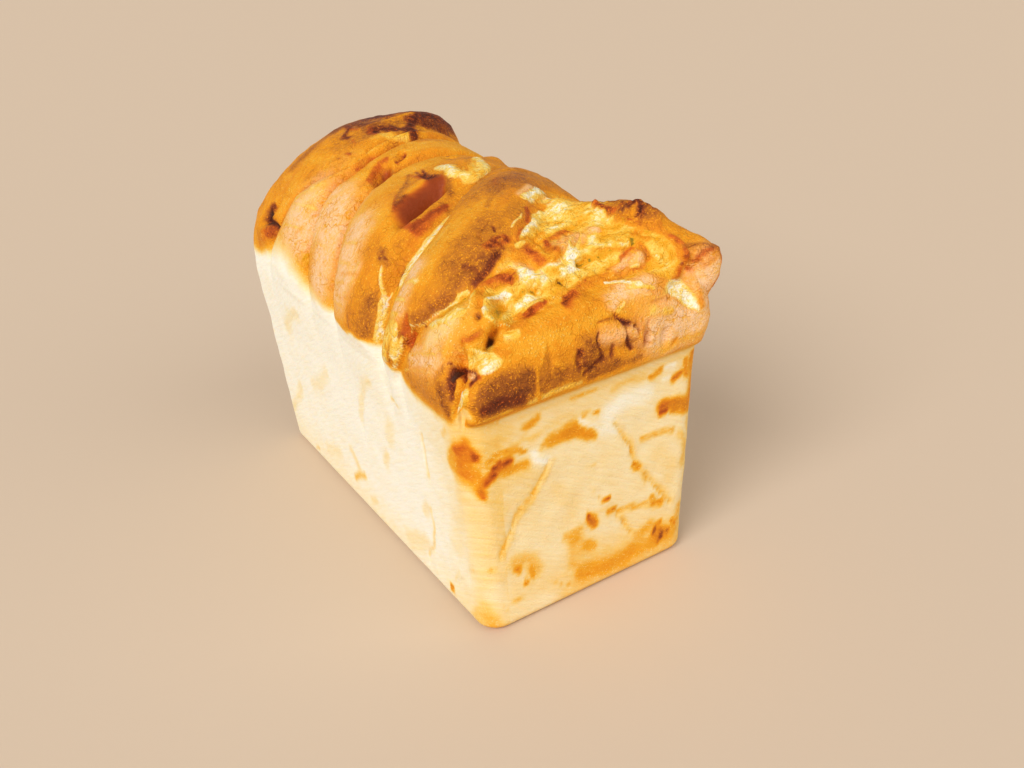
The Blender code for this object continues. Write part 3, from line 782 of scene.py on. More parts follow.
GAP_STROKES = (
    ("cream", 0.95, 3.2, 0.4, [(44, 26.4), (40, 26), (36, 27)]),
    ("white", 0.8, 1.5, 0.4, [(42, 26), (37, 26.6)]),
    ("yellow", 0.9, 3.2, 0.0, [(44, 31), (38, 32), (33, 33)]),
    ("cream", 0.7, 0.6, 0.5, [(44, 29), (40, 33), (36, 37)]),
    ("cream", 0.7, 0.6, 0.5, [(40, 28.6), (36, 32), (34, 36)]),
    ("olive", 0.4, 0.8, -0.4, [(46, 30.6), (41, 34), (37, 38)]),
    ("orange", 0.8, 2.0, 0.4, [(50, 27), (47, 28), (46, 30)]),
    ("orange", 0.85, 2.2, 0.4, [(44, 39), (39, 40), (35, 42)]),
    ("red", 0.6, 1.1, 0.4, [(42, 39), (38, 40), (36, 42)]),
    ("orange", 0.8, 0.6, 0.5, [(33, 39), (31, 42), (27, 44)]),
    ("cream", 0.7, 0.5, 0.5, [(34, 41), (31, 44.4), (27, 46.4)]),
    ("dark", 0.7, 0.5, -0.5, [(26, 41.4), (25.2, 42.4)]),
    ("red", 0.95, 1.6, -0.5, [(32, 25), (29, 25.4), (27, 25)]),
    ("dark", 0.9, 0.9, -0.7, [(31, 25.4), (28.6, 25.4), (26.6, 25)]),
    ("orange", 0.8, 0.7, 0.5, [(33, 23.4), (30, 23.6), (27.4, 24)]),
    ("peach", 0.9, 2.0, 0.4, [(30, 28), (28, 31), (26.4, 34)]),
    ("red", 0.5, 1.4, 0.3, [(29.6, 29), (27.6, 33)]),
    ("dark", 0.8, 0.6, -0.5, [(32, 27), (31, 30), (28, 33.4)]),
    ("red", 0.95, 1.8, 0.0, [(25, 30), (25.4, 34), (26.6, 37.6)]),
    ("dark", 0.8, 1.0, -0.6, [(24.4, 30.4), (25.6, 34.4), (27, 38)]),
    ("dark", 0.95, 2.8, -1.6, [(24, 38), (21, 37), (18, 35)]),
    ("hole_shade", 0.85, 1.5, -1.0, [(24, 37.8), (21, 37)]),
    ("dark", 0.6, 2.0, -0.5, [(18, 34), (14, 32)]),
    ("brown", 0.85, 3.2, 0.0, [(16, 41), (12, 37), (7, 34)]),
    ("brown", 0.6, 2.0, 0.0, [(22, 43), (18, 45)]),
    ("amber", 0.5, 2.4, 0.0, [(10, 29), (6, 30)]),
    ("orange", 0.8, 2.0, 0.4, [(50, 48), (54, 53), (58, 57)]),
    ("cream", 0.6, 0.7, 0.5, [(47, 50), (51, 54), (54, 57)]),
    ("gold", 0.7, 2.6, 0.3, [(42, 46), (35, 46), (28, 47)]),
    ("pale", 0.8, 5.0, 0.2, [(40, 54), (34, 55), (28, 57)]),
    ("cream", 0.7, 2.6, 0.2, [(44, 51), (38, 56), (34, 60)]),
    ("cream", 0.6, 0.7, 0.4, [(45, 50), (44, 56), (42, 61)]),
    ("cream", 0.6, 0.7, 0.4, [(38, 50), (36, 58), (32, 64)]),
    ("peach", 0.8, 4.4, 0.1, [(22, 50), (20, 58), (18, 66)]),
    ("cream", 0.5, 1.0, 0.3, [(25, 50), (22, 60), (17, 70)]),
    ("cream", 0.5, 0.8, 0.3, [(18, 52), (15, 62), (11, 72)]),
    ("orange", 0.5, 0.8, 0.0, [(20, 46), (18, 56), (14, 66)]),
    ("olive", 0.75, 2.6, -0.4, [(48, 57), (43, 59), (38, 61)]),
    ("brown", 0.5, 0.7, -0.4, [(47, 56), (46, 60)]),
    ("brown", 0.5, 0.7, -0.4, [(43, 56.4), (42, 61)]),
    ("brown", 0.5, 0.6, -0.4, [(39, 58), (37, 63)]),
    ("dark", 0.6, 0.5, -0.5, [(31.6, 64), (31, 68.4)]),
    ("cream", 0.9, 0.7, 0.8, [(52, 58), (46, 59.6), (40, 62.6), (34, 66.4), (30, 70)]),
    ("brown", 0.7, 0.6, -0.5, [(48, 60.4), (42, 63.4), (36, 67.2), (31, 71)]),
    ("cream", 0.85, 0.7, 0.7, [(30, 70), (28, 73), (24, 74.6), (19, 76)]),
    ("red", 0.9, 1.3, -0.4, [(31, 74.6), (28, 75.6), (24, 75.4)]),
    ("red", 0.9, 1.2, -0.4, [(26, 72.6), (22, 73.4), (19, 73.4)]),
    ("orange", 0.8, 1.6, 0.3, [(27, 68), (22, 70), (18, 71)]),
    ("cream", 0.85, 0.8, 0.6, [(18, 76), (12, 78), (6, 80.4)]),
    ("orange", 0.7, 0.6, 0.3, [(18, 74.6), (12, 76.6), (6, 79)]),
)
LOBE_STROKES = (
    # the middle lobe
    # painted shade: a dark line along the shaded edge of the middle lobe
    ("dark", 0.9, 1.4, -0.2, [(71, 62.6), (66, 61.2), (60, 59.8), (56, 59)]),
    ("brown", 0.7, 3.2, 0.0, [(72, 66), (62, 64), (52, 63)]),
    ("brown", 0.4, 5.0, 0.0, [(76, 76), (66, 72), (54, 70)]),
    ("brown", 0.8, 2.6, 0.0, [(46, 63), (38, 67), (32, 71)]),
    ("orange", 0.6, 3.0, 0.0, [(44, 68), (36, 73)]),
    ("dark", 0.6, 1.4, 0.0, [(60, 62), (58, 65)]),
    ("red", 0.9, 2.0, 0.5, [(78, 66.6), (74, 66.4), (70, 66.4)]),
    ("dark", 0.85, 0.6, -0.6, [(78, 65.6), (76, 67.4)]),
    ("dark", 0.85, 0.6, -0.6, [(75, 65.4), (73, 67.6)]),
    ("dark", 0.85, 0.7, -0.6, [(71.4, 65.6), (70, 66.8)]),
    ("orange", 0.8, 0.5, 0.6, [(77, 66.4), (74.4, 66.2)]),
    ("dark", 0.8, 0.7, -0.5, [(77.4, 71), (78.4, 72.6)]),
    ("brown", 0.9, 0.4, -0.7, [(70.6, 70), (70.8, 73)]),
    ("brown", 0.9, 0.4, -0.7, [(71, 72), (73, 73.4), (75.4, 74.2)]),
    ("gold", 0.6, 4.0, 0.0, [(46, 76), (52, 80), (58, 84)]),
    ("gold", 0.8, 6.0, 0.0, [(86, 86), (76, 88), (66, 86)]),
    ("yellow", 0.5, 3.6, 0.0, [(68, 90), (60, 88), (56, 90)]),
    ("pale", 0.7, 3.4, 0.0, [(56, 97), (50, 93), (44, 92)]),
    ("peach", 0.95, 5.0, 0.0, [(48, 86), (40, 84), (32, 82)]),
    ("cream", 0.6, 1.4, 0.2, [(44, 78), (42, 86)]),
    ("cream", 0.6, 1.4, 0.2, [(36, 80), (34, 88)]),
    ("cream", 0.5, 1.4, 0.2, [(30, 80), (29, 86)]),
    ("yellow", 0.9, 4.4, 0.0, [(24, 82), (19, 84), (15, 85)]),
    ("olive", 0.45, 2.0, 0.0, [(26, 87), (20, 88)]),
    ("cream", 0.9, 1.2, 0.4, [(26, 78.6), (20, 77.6), (14, 79)]),
    ("white", 0.8, 3.0, 0.0, [(10, 84), (6, 86)]),
    ("brown", 0.6, 5.0, 0.0, [(110, 103), (104, 98), (98, 93)]),
    ("orange", 0.8, 3.0, 0.0, [(98, 88), (92, 84), (86, 82)]),
    ("brown", 0.5, 1.2, 0.0, [(94, 92), (88, 88), (84, 84)]),
    ("red", 0.4, 2.0, 0.0, [(102, 104), (96, 98)]),
    # the strip and the slope behind it
    ("cream", 0.95, 2.0, 0.3, [(78, 104.6), (68, 103), (60, 101.4), (50, 99.6), (40, 97.6)]),
    ("white", 0.5, 0.9, 0.2, [(72, 103), (62, 101), (52, 99)]),
    ("olive", 0.9, 0.8, -0.6, [(46, 101.4), (41, 100.6), (35, 98.6)]),
    ("hole_shade", 0.5, 0.5, -0.5, [(46, 101.6), (40, 100.4), (36, 99)]),
    ("cream", 0.8, 0.8, 0.6, [(44, 107.6), (38, 105.4), (32, 101.6), (26, 99.6)]),
    ("cream", 0.9, 0.8, 0.5, [(30, 100.4), (20, 98.8), (10, 98)]),
    ("white", 0.7, 0.5, 0.4, [(34, 100), (24, 98.4), (14, 97.6)]),
    ("orange", 0.85, 1.0, 0.3, [(56, 103.6), (48, 103), (42, 102.6)]),
    ("orange", 0.9, 2.4, 0.4, [(56, 105), (66, 108), (76, 110), (84, 112)]),
    ("red", 0.9, 2.2, 0.5, [(62, 107.6), (70, 109.6), (78, 111.6)]),
    # The long cavity, drawn dark red-brown inside: its own colour, partly darkened as painted shade.
    ("hollow", 0.8, 0.9, -0.3, [(62, 108.6), (71, 110.8), (76, 112), (81, 113.4)]),
    ("hollow", 0.8, 1.8, 0.0, [(61, 110.6), (62, 113.4), (63, 115)]),
    ("red", 0.85, 2.4, 0.0, [(61, 112), (64, 115)]),
    ("hollow", 1.0, 3.4, -1.8, [(62, 116.6), (70, 119.6), (78, 122), (85, 124)]),
    ("brown", 0.8, 1.6, 0.3, [(94, 127), (90, 124), (86, 118)]),
    ("dark", 1.0, 2.4, -0.6, [(88, 132.6), (86, 135), (86.6, 139)]),
    ("hollow", 1.0, 3.0, 0.0, [(61.6, 118.6), (66, 122), (71, 124.6), (77, 127), (83, 128.6), (89, 128.8)]),
    ("dark", 0.6, 0.7, 0.2, [(60.4, 121.6), (66, 125.4), (71, 127.8), (77, 130.2), (83, 132)]),
    ("dark", 0.8, 1.0, -0.3, [(87, 139), (89, 143), (90.6, 147)]),
    ("dark", 0.7, 0.9, -0.3, [(86, 138), (86.4, 143), (87, 147)]),
    ("red", 0.6, 1.6, 0.2, [(83, 133), (84, 141), (82, 146)]),
    ("brown", 0.8, 1.0, 0.2, [(66, 126), (70, 131), (74, 135), (79, 140), (83, 146)]),
    ("brown", 0.6, 1.0, 0.2, [(70, 128), (74, 132), (78, 137)]),
    ("red", 0.5, 0.8, 0.2, [(62, 122), (66, 127), (70, 133)]),
    ("gold", 0.8, 2.4, 0.2, [(82, 132), (78, 131), (74, 130)]),
    ("gold", 0.7, 4.0, 0.0, [(52, 114), (58, 120), (60, 130)]),
    ("brown", 0.7, 2.6, 0.3, [(44, 108), (46, 111)]),
    ("dark", 0.7, 0.8, 0.3, [(45, 107)]),
    ("dark", 0.7, 0.8, 0.3, [(43.4, 109.6)]),
    ("dark", 0.6, 0.8, 0.3, [(46.6, 110)]),
    ("orange", 0.7, 4.0, 0.0, [(34, 110), (40, 114), (50, 118)]),
    ("brown", 0.6, 4.0, 0.0, [(14, 104), (20, 104), (26, 104)]),
    ("orange", 0.7, 3.0, 0.0, [(12, 112), (16, 114), (22, 112)]),
    ("brown", 0.5, 1.0, 0.0, [(14, 114), (18, 116)]),
    ("peach", 0.7, 3.0, 0.2, [(30, 120), (36, 120)]),
    ("cream", 0.6, 0.9, 0.3, [(28, 118), (34, 119), (38, 120)]),
    ("peach", 0.95, 9.0, 0.0, [(48, 136), (36, 132), (24, 128)]),
    ("cream", 0.5, 1.0, 0.2, [(44, 128), (42, 138), (44, 146)]),
    ("cream", 0.5, 1.0, 0.2, [(36, 126), (34, 136)]),
    ("cream", 0.5, 1.0, 0.2, [(28, 124), (26, 134)]),
    ("cream", 0.5, 1.0, 0.2, [(20, 122), (18, 132)]),
    ("orange", 0.6, 0.9, 0.0, [(34, 118), (32, 124), (31, 130)]),
    ("orange", 0.5, 0.8, 0.0, [(24, 118), (22, 126)]),
    # the flap right of the cavity
    ("cream", 0.95, 3.4, 0.9, [(95, 127), (96, 132), (95, 138)]),
    ("white", 0.6, 1.4, 0.5, [(95, 128), (96, 135)]),
    ("yellow", 0.9, 4.0, 0.5, [(99, 121), (104, 122), (108, 126)]),
    ("cream", 0.8, 1.2, 0.6, [(99, 122), (97, 126)]),
    ("amber", 0.9, 0.8, 0.3, [(101, 119.6), (102.4, 124), (103, 128)]),
    ("cream", 0.8, 2.4, 0.5, [(107, 122), (110, 128), (110, 134)]),
    ("orange", 0.7, 1.0, 0.4, [(103, 130), (105, 138), (108, 146)]),
    ("brown", 0.6, 1.0, -0.3, [(108, 136), (106, 142), (104, 148)]),
    ("gold", 0.8, 5.0, 0.0, [(96, 148), (86, 152), (76, 152)]),
    # the next lobes
    ("peach", 0.95, 8.0, 0.0, [(52, 158), (40, 158), (28, 154), (20, 152)]),
    ("gold", 0.6, 2.0, 0.0, [(58, 152), (50, 147), (40, 142), (30, 139), (20, 136)]),
    ("gold", 0.7, 3.6, 0.0, [(68, 158), (60, 158), (52, 154)]),
    ("orange", 0.6, 2.4, 0.0, [(68, 162), (60, 160)]),
    ("cream", 0.5, 1.0, 0.2, [(50, 158), (48, 168), (46, 174)]),
    ("cream", 0.4, 1.0, 0.2, [(36, 154), (34, 164)]),
    # A smaller cavity, drawn darker inside in the same way, partly as painted shade.
    ("hollow", 0.85, 2.8, -0.8, [(73, 158), (78, 161), (81, 164)]),
    ("dark", 0.5, 0.8, -0.4, [(74, 161), (79, 165)]),
    ("red", 0.85, 1.3, 0.4, [(71, 162), (76, 166), (82, 169.4), (85, 169)]),
    ("red", 0.9, 1.2, -0.5, [(87, 163), (90, 165), (93, 167)]),
    ("dark", 0.7, 0.6, -0.5, [(86.6, 163.6), (89.6, 164.6), (92.6, 166.6)]),
    ("orange", 0.7, 0.7, 0.5, [(86, 166), (89.4, 167), (92, 169)]),
    ("dark", 0.8, 1.3, -0.6, [(108, 155), (109, 158)]),
    ("orange", 0.7, 2.4, 0.2, [(112, 163), (102, 164), (94, 162)]),
    ("brown", 0.5, 2.6, 0.0, [(114, 174), (106, 176)]),
    ("peach", 0.9, 9.0, 0.0, [(56, 168), (42, 172), (30, 182), (40, 190)]),
    # painted highlight: a paler streak on the lit upper left of a lobe
    ("pale", 0.5, 5.0, 0.0, [(52, 184), (44, 188), (34, 196)]),
    ("cream", 0.5, 1.0, 0.2, [(46, 180), (44, 190), (42, 198)]),
    ("cream", 0.5, 1.0, 0.2, [(36, 178), (34, 188), (32, 198)]),
    ("orange", 0.5, 1.2, 0.0, [(36, 180), (32, 182)]),
    ("amber", 0.7, 1.8, 0.0, [(22, 170), (26, 172)]),
    ("gold", 0.8, 4.0, 0.0, [(86, 182), (76, 182), (66, 184)]),
    ("red", 0.8, 0.8, -0.2, [(98, 180.4), (90, 179.4), (82, 178.6), (72, 177.6)]),
    ("yellow", 0.8, 3.0, 0.2, [(103, 184), (97, 185)]),
    ("yellow", 0.7, 2.2, 0.2, [(98, 190), (96, 194)]),
    ("orange", 0.8, 3.4, 0.0, [(116, 185), (126, 188)]),
    # the last lobe
    ("dark", 1.0, 2.0, 0.5, [(107, 183), (110, 189), (112.6, 197), (117, 206), (122, 211)]),
    ("hole_shade", 0.5, 0.8, 0.0, [(111, 193), (114, 201)]),
    ("dark", 1.0, 3.4, -0.3, [(110, 193), (105, 195), (101, 198)]),
    ("dark", 1.0, 2.6, -0.5, [(99, 200), (96, 202), (94, 197)]),
    ("red", 0.7, 1.6, 0.3, [(94, 194), (93, 199), (95, 204)]),
    ("brown", 0.8, 3.6, 0.2, [(100, 206), (94, 208), (88, 212)]),
    ("red", 0.7, 1.2, 0.3, [(90, 206), (87, 212), (86, 218)]),
    ("dark", 0.6, 2.6, 0.2, [(98, 208), (92, 212), (90, 218)]),
    ("dark", 0.8, 1.5, 0.3, [(84, 204), (82, 208), (87, 212), (86, 220)]),
    ("amber", 0.5, 2.6, 0.2, [(103, 188), (98, 191), (91, 192)]),
    ("red", 0.8, 1.2, 0.3, [(76.6, 190), (76, 193)]),
    ("red", 0.8, 1.2, 0.3, [(72, 192.6), (70, 196)]),
    ("red", 0.6, 1.0, 0.3, [(83, 196), (84, 200)]),
    ("orange", 0.7, 2.0, 0.3, [(86, 192), (80, 196)]),
    ("gold", 0.7, 5.0, 0.0, [(68, 194), (66, 204), (64, 214)]),
    ("orange", 0.7, 3.0, 0.0, [(44, 216), (50, 216), (57, 217)]),
    ("orange", 0.6, 2.4, 0.0, [(57, 202), (62, 204)]),
    ("orange", 0.5, 2.0, 0.0, [(64, 188), (70, 190)]),
    ("dark", 0.7, 3.8, 0.2, [(116, 206), (124, 207), (134, 210)]),
    ("dark", 0.9, 4.2, 0.3, [(118, 212), (128, 215), (138, 218)]),
    ("dark", 0.7, 2.0, 0.3, [(110, 208), (106, 214), (104, 222)]),
    ("brown", 0.7, 5.0, 0.2, [(96, 216), (100, 226), (108, 234)]),
    ("dark", 0.8, 5.0, 0.3, [(84, 224), (94, 221), (106, 218), (118, 219), (130, 222), (142, 226)]),
    ("brown", 0.8, 4.0, 0.2, [(56, 224), (70, 223), (84, 222), (100, 228)]),
    ("gold", 0.7, 1.6, 0.4, [(104, 206), (112, 208), (118, 212)]),
    # painted highlights: pale streaks on the lit upper left edges of three lobes
    ("cream", 0.4, 1.6, 0.2, [(58, 140), (54, 146), (50, 150)]),
    ("cream", 0.4, 1.6, 0.2, [(62, 166), (56, 170), (50, 174)]),
    ("cream", 0.5, 2.0, 0.2, [(58, 184), (50, 192), (44, 200)]),
    ("dark", 0.95, 1.6, -1.2, [(28, 209), (28.6, 214), (27, 220)]),
    ("dark", 0.95, 1.4, -1.0, [(27, 221), (31, 222.6), (35, 221)]),
    ("hole_shade", 0.95, 1.3, -0.8, [(29, 209), (28, 213), (27, 219), (31, 222)]),
    ("red", 0.95, 3.0, 0.2, [(25, 211), (23, 214), (21, 217)]),
    ("dark", 0.5, 1.0, 0.3, [(22.6, 213)]),
    ("dark", 0.4, 1.0, 0.3, [(25, 215)]),
    ("orange", 0.9, 2.6, 0.0, [(20, 216), (18, 220), (16, 224)]),
    ("gold", 0.7, 3.0, 0.0, [(34, 210), (40, 212)]),
)
FAR_STROKES = (
    ("brown", 0.6, 7.0, 0.0, [(150, 92), (158, 104), (164, 112)]),
    ("dark", 0.6, 2.2, -0.4, [(150, 98), (156, 102), (160, 110)]),
    ("cream", 0.8, 2.4, 0.6, [(134, 88), (140, 94), (148, 96)]),
    ("amber", 0.7, 3.4, 0.4, [(136, 84), (144, 86), (152, 84)]),
    ("orange", 0.7, 2.0, 0.5, [(140, 78), (150, 78), (160, 82)]),
    ("peach", 0.7, 8.0, 0.0, [(160, 52), (170, 56)]),
    ("brown", 0.6, 3.0, 0.2, [(164, 40), (170, 36)]),
    ("cream", 0.8, 2.0, 0.5, [(130, 122), (140, 128), (150, 130)]),
    ("yellow", 0.7, 3.0, 0.3, [(134, 116), (144, 120)]),
    ("dark", 0.7, 2.4, -0.6, [(142, 140), (150, 146), (156, 150)]),
    ("brown", 0.6, 6.0, 0.2, [(136, 146), (148, 152), (160, 158)]),
    ("red", 0.6, 2.0, 0.3, [(132, 152), (138, 158)]),
    ("peach", 0.7, 8.0, 0.0, [(150, 178), (164, 184)]),
    ("gold", 0.6, 6.0, 0.0, [(128, 170), (140, 178)]),
    ("brown", 0.6, 5.0, 0.2, [(146, 200), (156, 208), (166, 214)]),
    ("dark", 0.6, 2.0, -0.5, [(148, 204), (154, 210)]),
    ("brown", 0.7, 8.0, 0.2, [(110, 228), (124, 236), (140, 240)]),
    ("dark", 0.7, 2.6, -0.6, [(116, 230), (124, 236), (128, 242)]),
    ("brown", 0.5, 7.0, 0.0, [(60, 240), (76, 250), (92, 254)]),
    ("dark", 0.5, 2.2, -0.4, [(70, 246), (78, 252)]),
    ("orange", 0.5, 4.0, 0.3, [(40, 236), (48, 244), (52, 254)]),
    ("cream", 0.8, 2.2, 0.5, [(84, 262), (96, 266), (110, 264)]),
    ("amber", 0.7, 3.0, 0.3, [(88, 256), (102, 258)]),
    ("red", 0.6, 2.0, -0.4, [(58, 262), (64, 266)]),
    ("peach", 0.6, 7.0, 0.0, [(36, 256), (50, 268)]),
    ("gold", 0.5, 7.0, 0.0, [(140, 262), (154, 256)]),
    ("brown", 0.5, 5.0, 0.0, [(160, 240), (168, 250)]),
)
HATCHES = (
    # pigment, strength, middle s, t, two radii, turn, the strands' own turn, their length and width
    ("cream", 0.95, 102, 58, 13, 7, 25, 48, 7, 0.9),
    ("red", 0.5, 104, 60, 12, 4, 25, 48, 6, 0.8),
    ("cream", 0.95, 114, 54, 9, 7, 40, 52, 9, 1.0),
    ("orange", 0.5, 114, 54, 8, 6, 40, 52, 9, 1.0),
    ("cream", 0.7, 40, 56, 12, 8, 0, 98, 9, 1.3),
    ("cream", 0.5, 20, 58, 10, 16, 0, 102, 10, 1.2),
    ("cream", 0.5, 42, 84, 12, 10, 0, 92, 9, 1.3),
    ("gold", 0.5, 50, 84, 12, 10, 0, 92, 9, 1.5),
    ("cream", 0.5, 36, 136, 22, 12, 0, 92, 9, 1.3),
    ("orange", 0.35, 36, 130, 22, 12, 0, 95, 9, 1.3),
    ("cream", 0.45, 36, 160, 22, 10, 0, 92, 9, 1.3),
    ("cream", 0.5, 36, 188, 22, 14, 0, 92, 9, 1.3),
    ("cream", 0.6, 92, 68, 14, 4, 28, 28, 12, 0.8),
    ("orange", 0.6, 92, 70, 14, 4, 28, 28, 12, 0.8),
    ("cream", 0.5, 108, 88, 10, 5, 40, 40, 10, 0.9),
    ("brown", 0.35, 100, 96, 14, 10, 30, 35, 8, 1.1),
    ("cream", 0.5, 104, 126, 10, 8, 30, 60, 8, 1.0),
    ("orange", 0.5, 104, 138, 12, 10, 30, 60, 8, 1.1),
    ("cream", 0.6, 76, 43, 8, 4, 0, 10, 5, 0.8),
    ("orange", 0.35, 88, 58, 10, 5, 20, 70, 5, 1.0),
    ("cream", 0.4, 118, 27, 10, 5, 0, 40, 5, 0.9),
    ("brown", 0.4, 88, 206, 14, 14, 0, 70, 6, 1.2),
    ("dark", 0.35, 104, 206, 14, 10, 0, 60, 6, 1.0),
)
CROWN_STROKES = VALLEY_STROKES + HOLE_STROKES + ROLL_STROKES + GAP_STROKES + LOBE_STROKES + FAR_STROKES
print(len(CROWN_STROKES), "strokes on the crown")

# %% [markdown]
# ## Fine relief
# The dents and crags are added along the skin's own outward direction, in fractions of a millimetre up to about two.
# They are real geometry, not only bump, so the outline and the shadows break up as well. Small blisters cover all of
# the browned crust, and a narrow groove sharpens each crease from the back of the middle lobe on.

# %% Fine relief of the crown
SLANTED = np.stack([(S + 0.5 * T) / 3.6, T - 0.25 * S, 0 * S], -1)
ACROSS_GAP = np.stack([S / 9, T, 0 * S], -1)
fine = 0.5 * layered(BASE, 13.0, 50) + 0.36 * layered(BASE, 4.6, 60)
fine = fine + rough * (2.3 * (crags(BASE, 5.0, 70) - 0.55) + 0.6 * layered(BASE, 2.4, 75, 2))
fine = fine + in_valley * (1.1 * (crags(SLANTED, 4.2, 80, 2) - 0.5) - 0.9 * bubbles(BASE, 4.6, 90))
fine = fine + strandy * 1.0 * (crags(ACROSS_GAP, 3.4, 100, 2) - 0.5)
for crease, depth in ((third, 2.4), (fourth, 2.6), (fifth, 2.2), (sixth, 2.4)):
    fine = fine - depth * np.exp(-(((T - crease) / 1.4) ** 2)) * smooth(8, 20, S)
for pigment, strength, width, height, path in CROWN_STROKES:
    if height:
        fine = fine + height * smear(path, width + 0.2)
edge_free = smooth(0, 6, S) * (1 - smooth(S_END - 6, S_END, S)) * smooth(0, 5, T) * (1 - smooth(T_END - 8, T_END, T))
fine = fine * edge_free * ON_TOP
print("fine relief from", round(float(fine.min()), 2), "to", round(float(fine.max()), 2), "mm")

# %% [markdown]
# ## Creases of the walls
# The tin pressed the walls flat, but layers of dough slid on each other and left shallow creases, and the surface
# undulates a little. Beside each crease the skin stands up in a faint lip. Only the left wall and the front end are
# known; the right wall and the back get creases of the same kind.

# %% Wall creases
WALL_CREASES = (
    # wall, path of places along it and heights
    ("front", [(-20, 72), (-24, 64), (-31, 57), (-37, 49), (-40, 43), (-43, 37)]),
    ("front", [(10, 77), (16, 69), (20, 59), (21.7, 53.7), (28, 45), (34.6, 35), (40, 27)]),
    ("front", [(13, 34), (24, 32), (35, 29.5)]),
    ("front", [(13, 31.6), (17, 25), (20, 21)]),
    ("front", [(-50, 33), (-47, 32)]),
    ("left", [(-72, 81), (-70, 69), (-71, 61), (-67, 55)]),
    ("left", [(-68, 44), (-67, 35), (-65, 27), (-60, 18), (-54, 7)]),
    ("left", [(-20, 84), (-13, 75), (-12, 65), (-7, 57), (-6, 44)]),
    ("left", [(73, 43), (84, 30), (95, 15)]),
    ("left", [(48, 89), (62, 82), (80, 69), (94, 52), (104, 41)]),
    ("left", [(-96, 30), (-86, 20), (-80, 12)]),
    ("left", [(20, 60), (34, 50), (50, 44)]),
    ("right", [(-80, 84), (-66, 60), (-70, 34), (-60, 10)]),
    ("right", [(22, 88), (8, 66), (14, 48)]),
    ("right", [(70, 60), (84, 40), (78, 22)]),
    ("right", [(-30, 50), (-18, 34), (-24, 20)]),
    ("back", [(-30, 84), (-18, 62), (-24, 44), (-14, 20)]),
    ("back", [(28, 78), (34, 52), (22, 34)]),
)
creased = np.clip(sum(wall_line(wall, path, 0.8) for wall, path in WALL_CREASES), 0, 1)
lips = [(wall, [(along + 1.6, z - 0.8) for along, z in path]) for wall, path in WALL_CREASES]
lipped = np.clip(sum(wall_line(wall, path, 1.5) for wall, path in lips), 0, 1)


def normal_of(s, t, step=0.6):
    """Outward direction of the plain crown."""
    along_s = crown(np.clip(s + step, 0, S_END), t) - crown(np.clip(s - step, 0, S_END), t)
    along_t = crown(s, np.clip(t + step, 0, T_END)) - crown(s, np.clip(t - step, 0, T_END))
    n = np.cross(along_s, along_t)
    return n / (np.linalg.norm(n, axis=-1, keepdims=True) + 1e-9)


swell = 0.5 * relief(np.full(len(S), 6.0), T)
calm = smooth(0, 8, Z) * (1 - smooth(RIM - 12, RIM, Z))
dents = 0.1 - 0.45 * layered(BASE, 24.0, 120) - 0.3 * layered(BASE, 7.0, 130) + 0.6 * creased - 0.12 * lipped
place = wall_skin(S, T, Z, dents * calm)
place[:, 0] -= swell * smooth(RIM - 26, RIM, Z) * (S < 0.01)
raised = relief(S, T) + fine + swell * (1 - smooth(0, 7, S))
place[ON_TOP] = (BASE + normal_of(S, T) * raised[:, None])[ON_TOP]
bread.data.vertices.foreach_set("co", (place * MM).astype(np.float32).ravel())
bread.data.update()
print("loaf", np.round(np.ptp(place, axis=0), 1), "mm")

# %% [markdown]
# ## Large areas first
# The browning is laid in layers, the large areas first. Each layer draws the value towards its own level, as a brush
# with that colour would. Each lobe gets its own ground, then broad dabs make the roll's dark end, the pale dough beside
# the ear and the brown tops. The creases are drawn darker, a painted shade. Torn says where dough and cheese were
# pulled into threads.

# %% Ground layers


def paint(under, level, mask):
    """Draws a value towards a level where the mask is on."""
    return under + (level - under) * np.clip(mask, 0, 1)


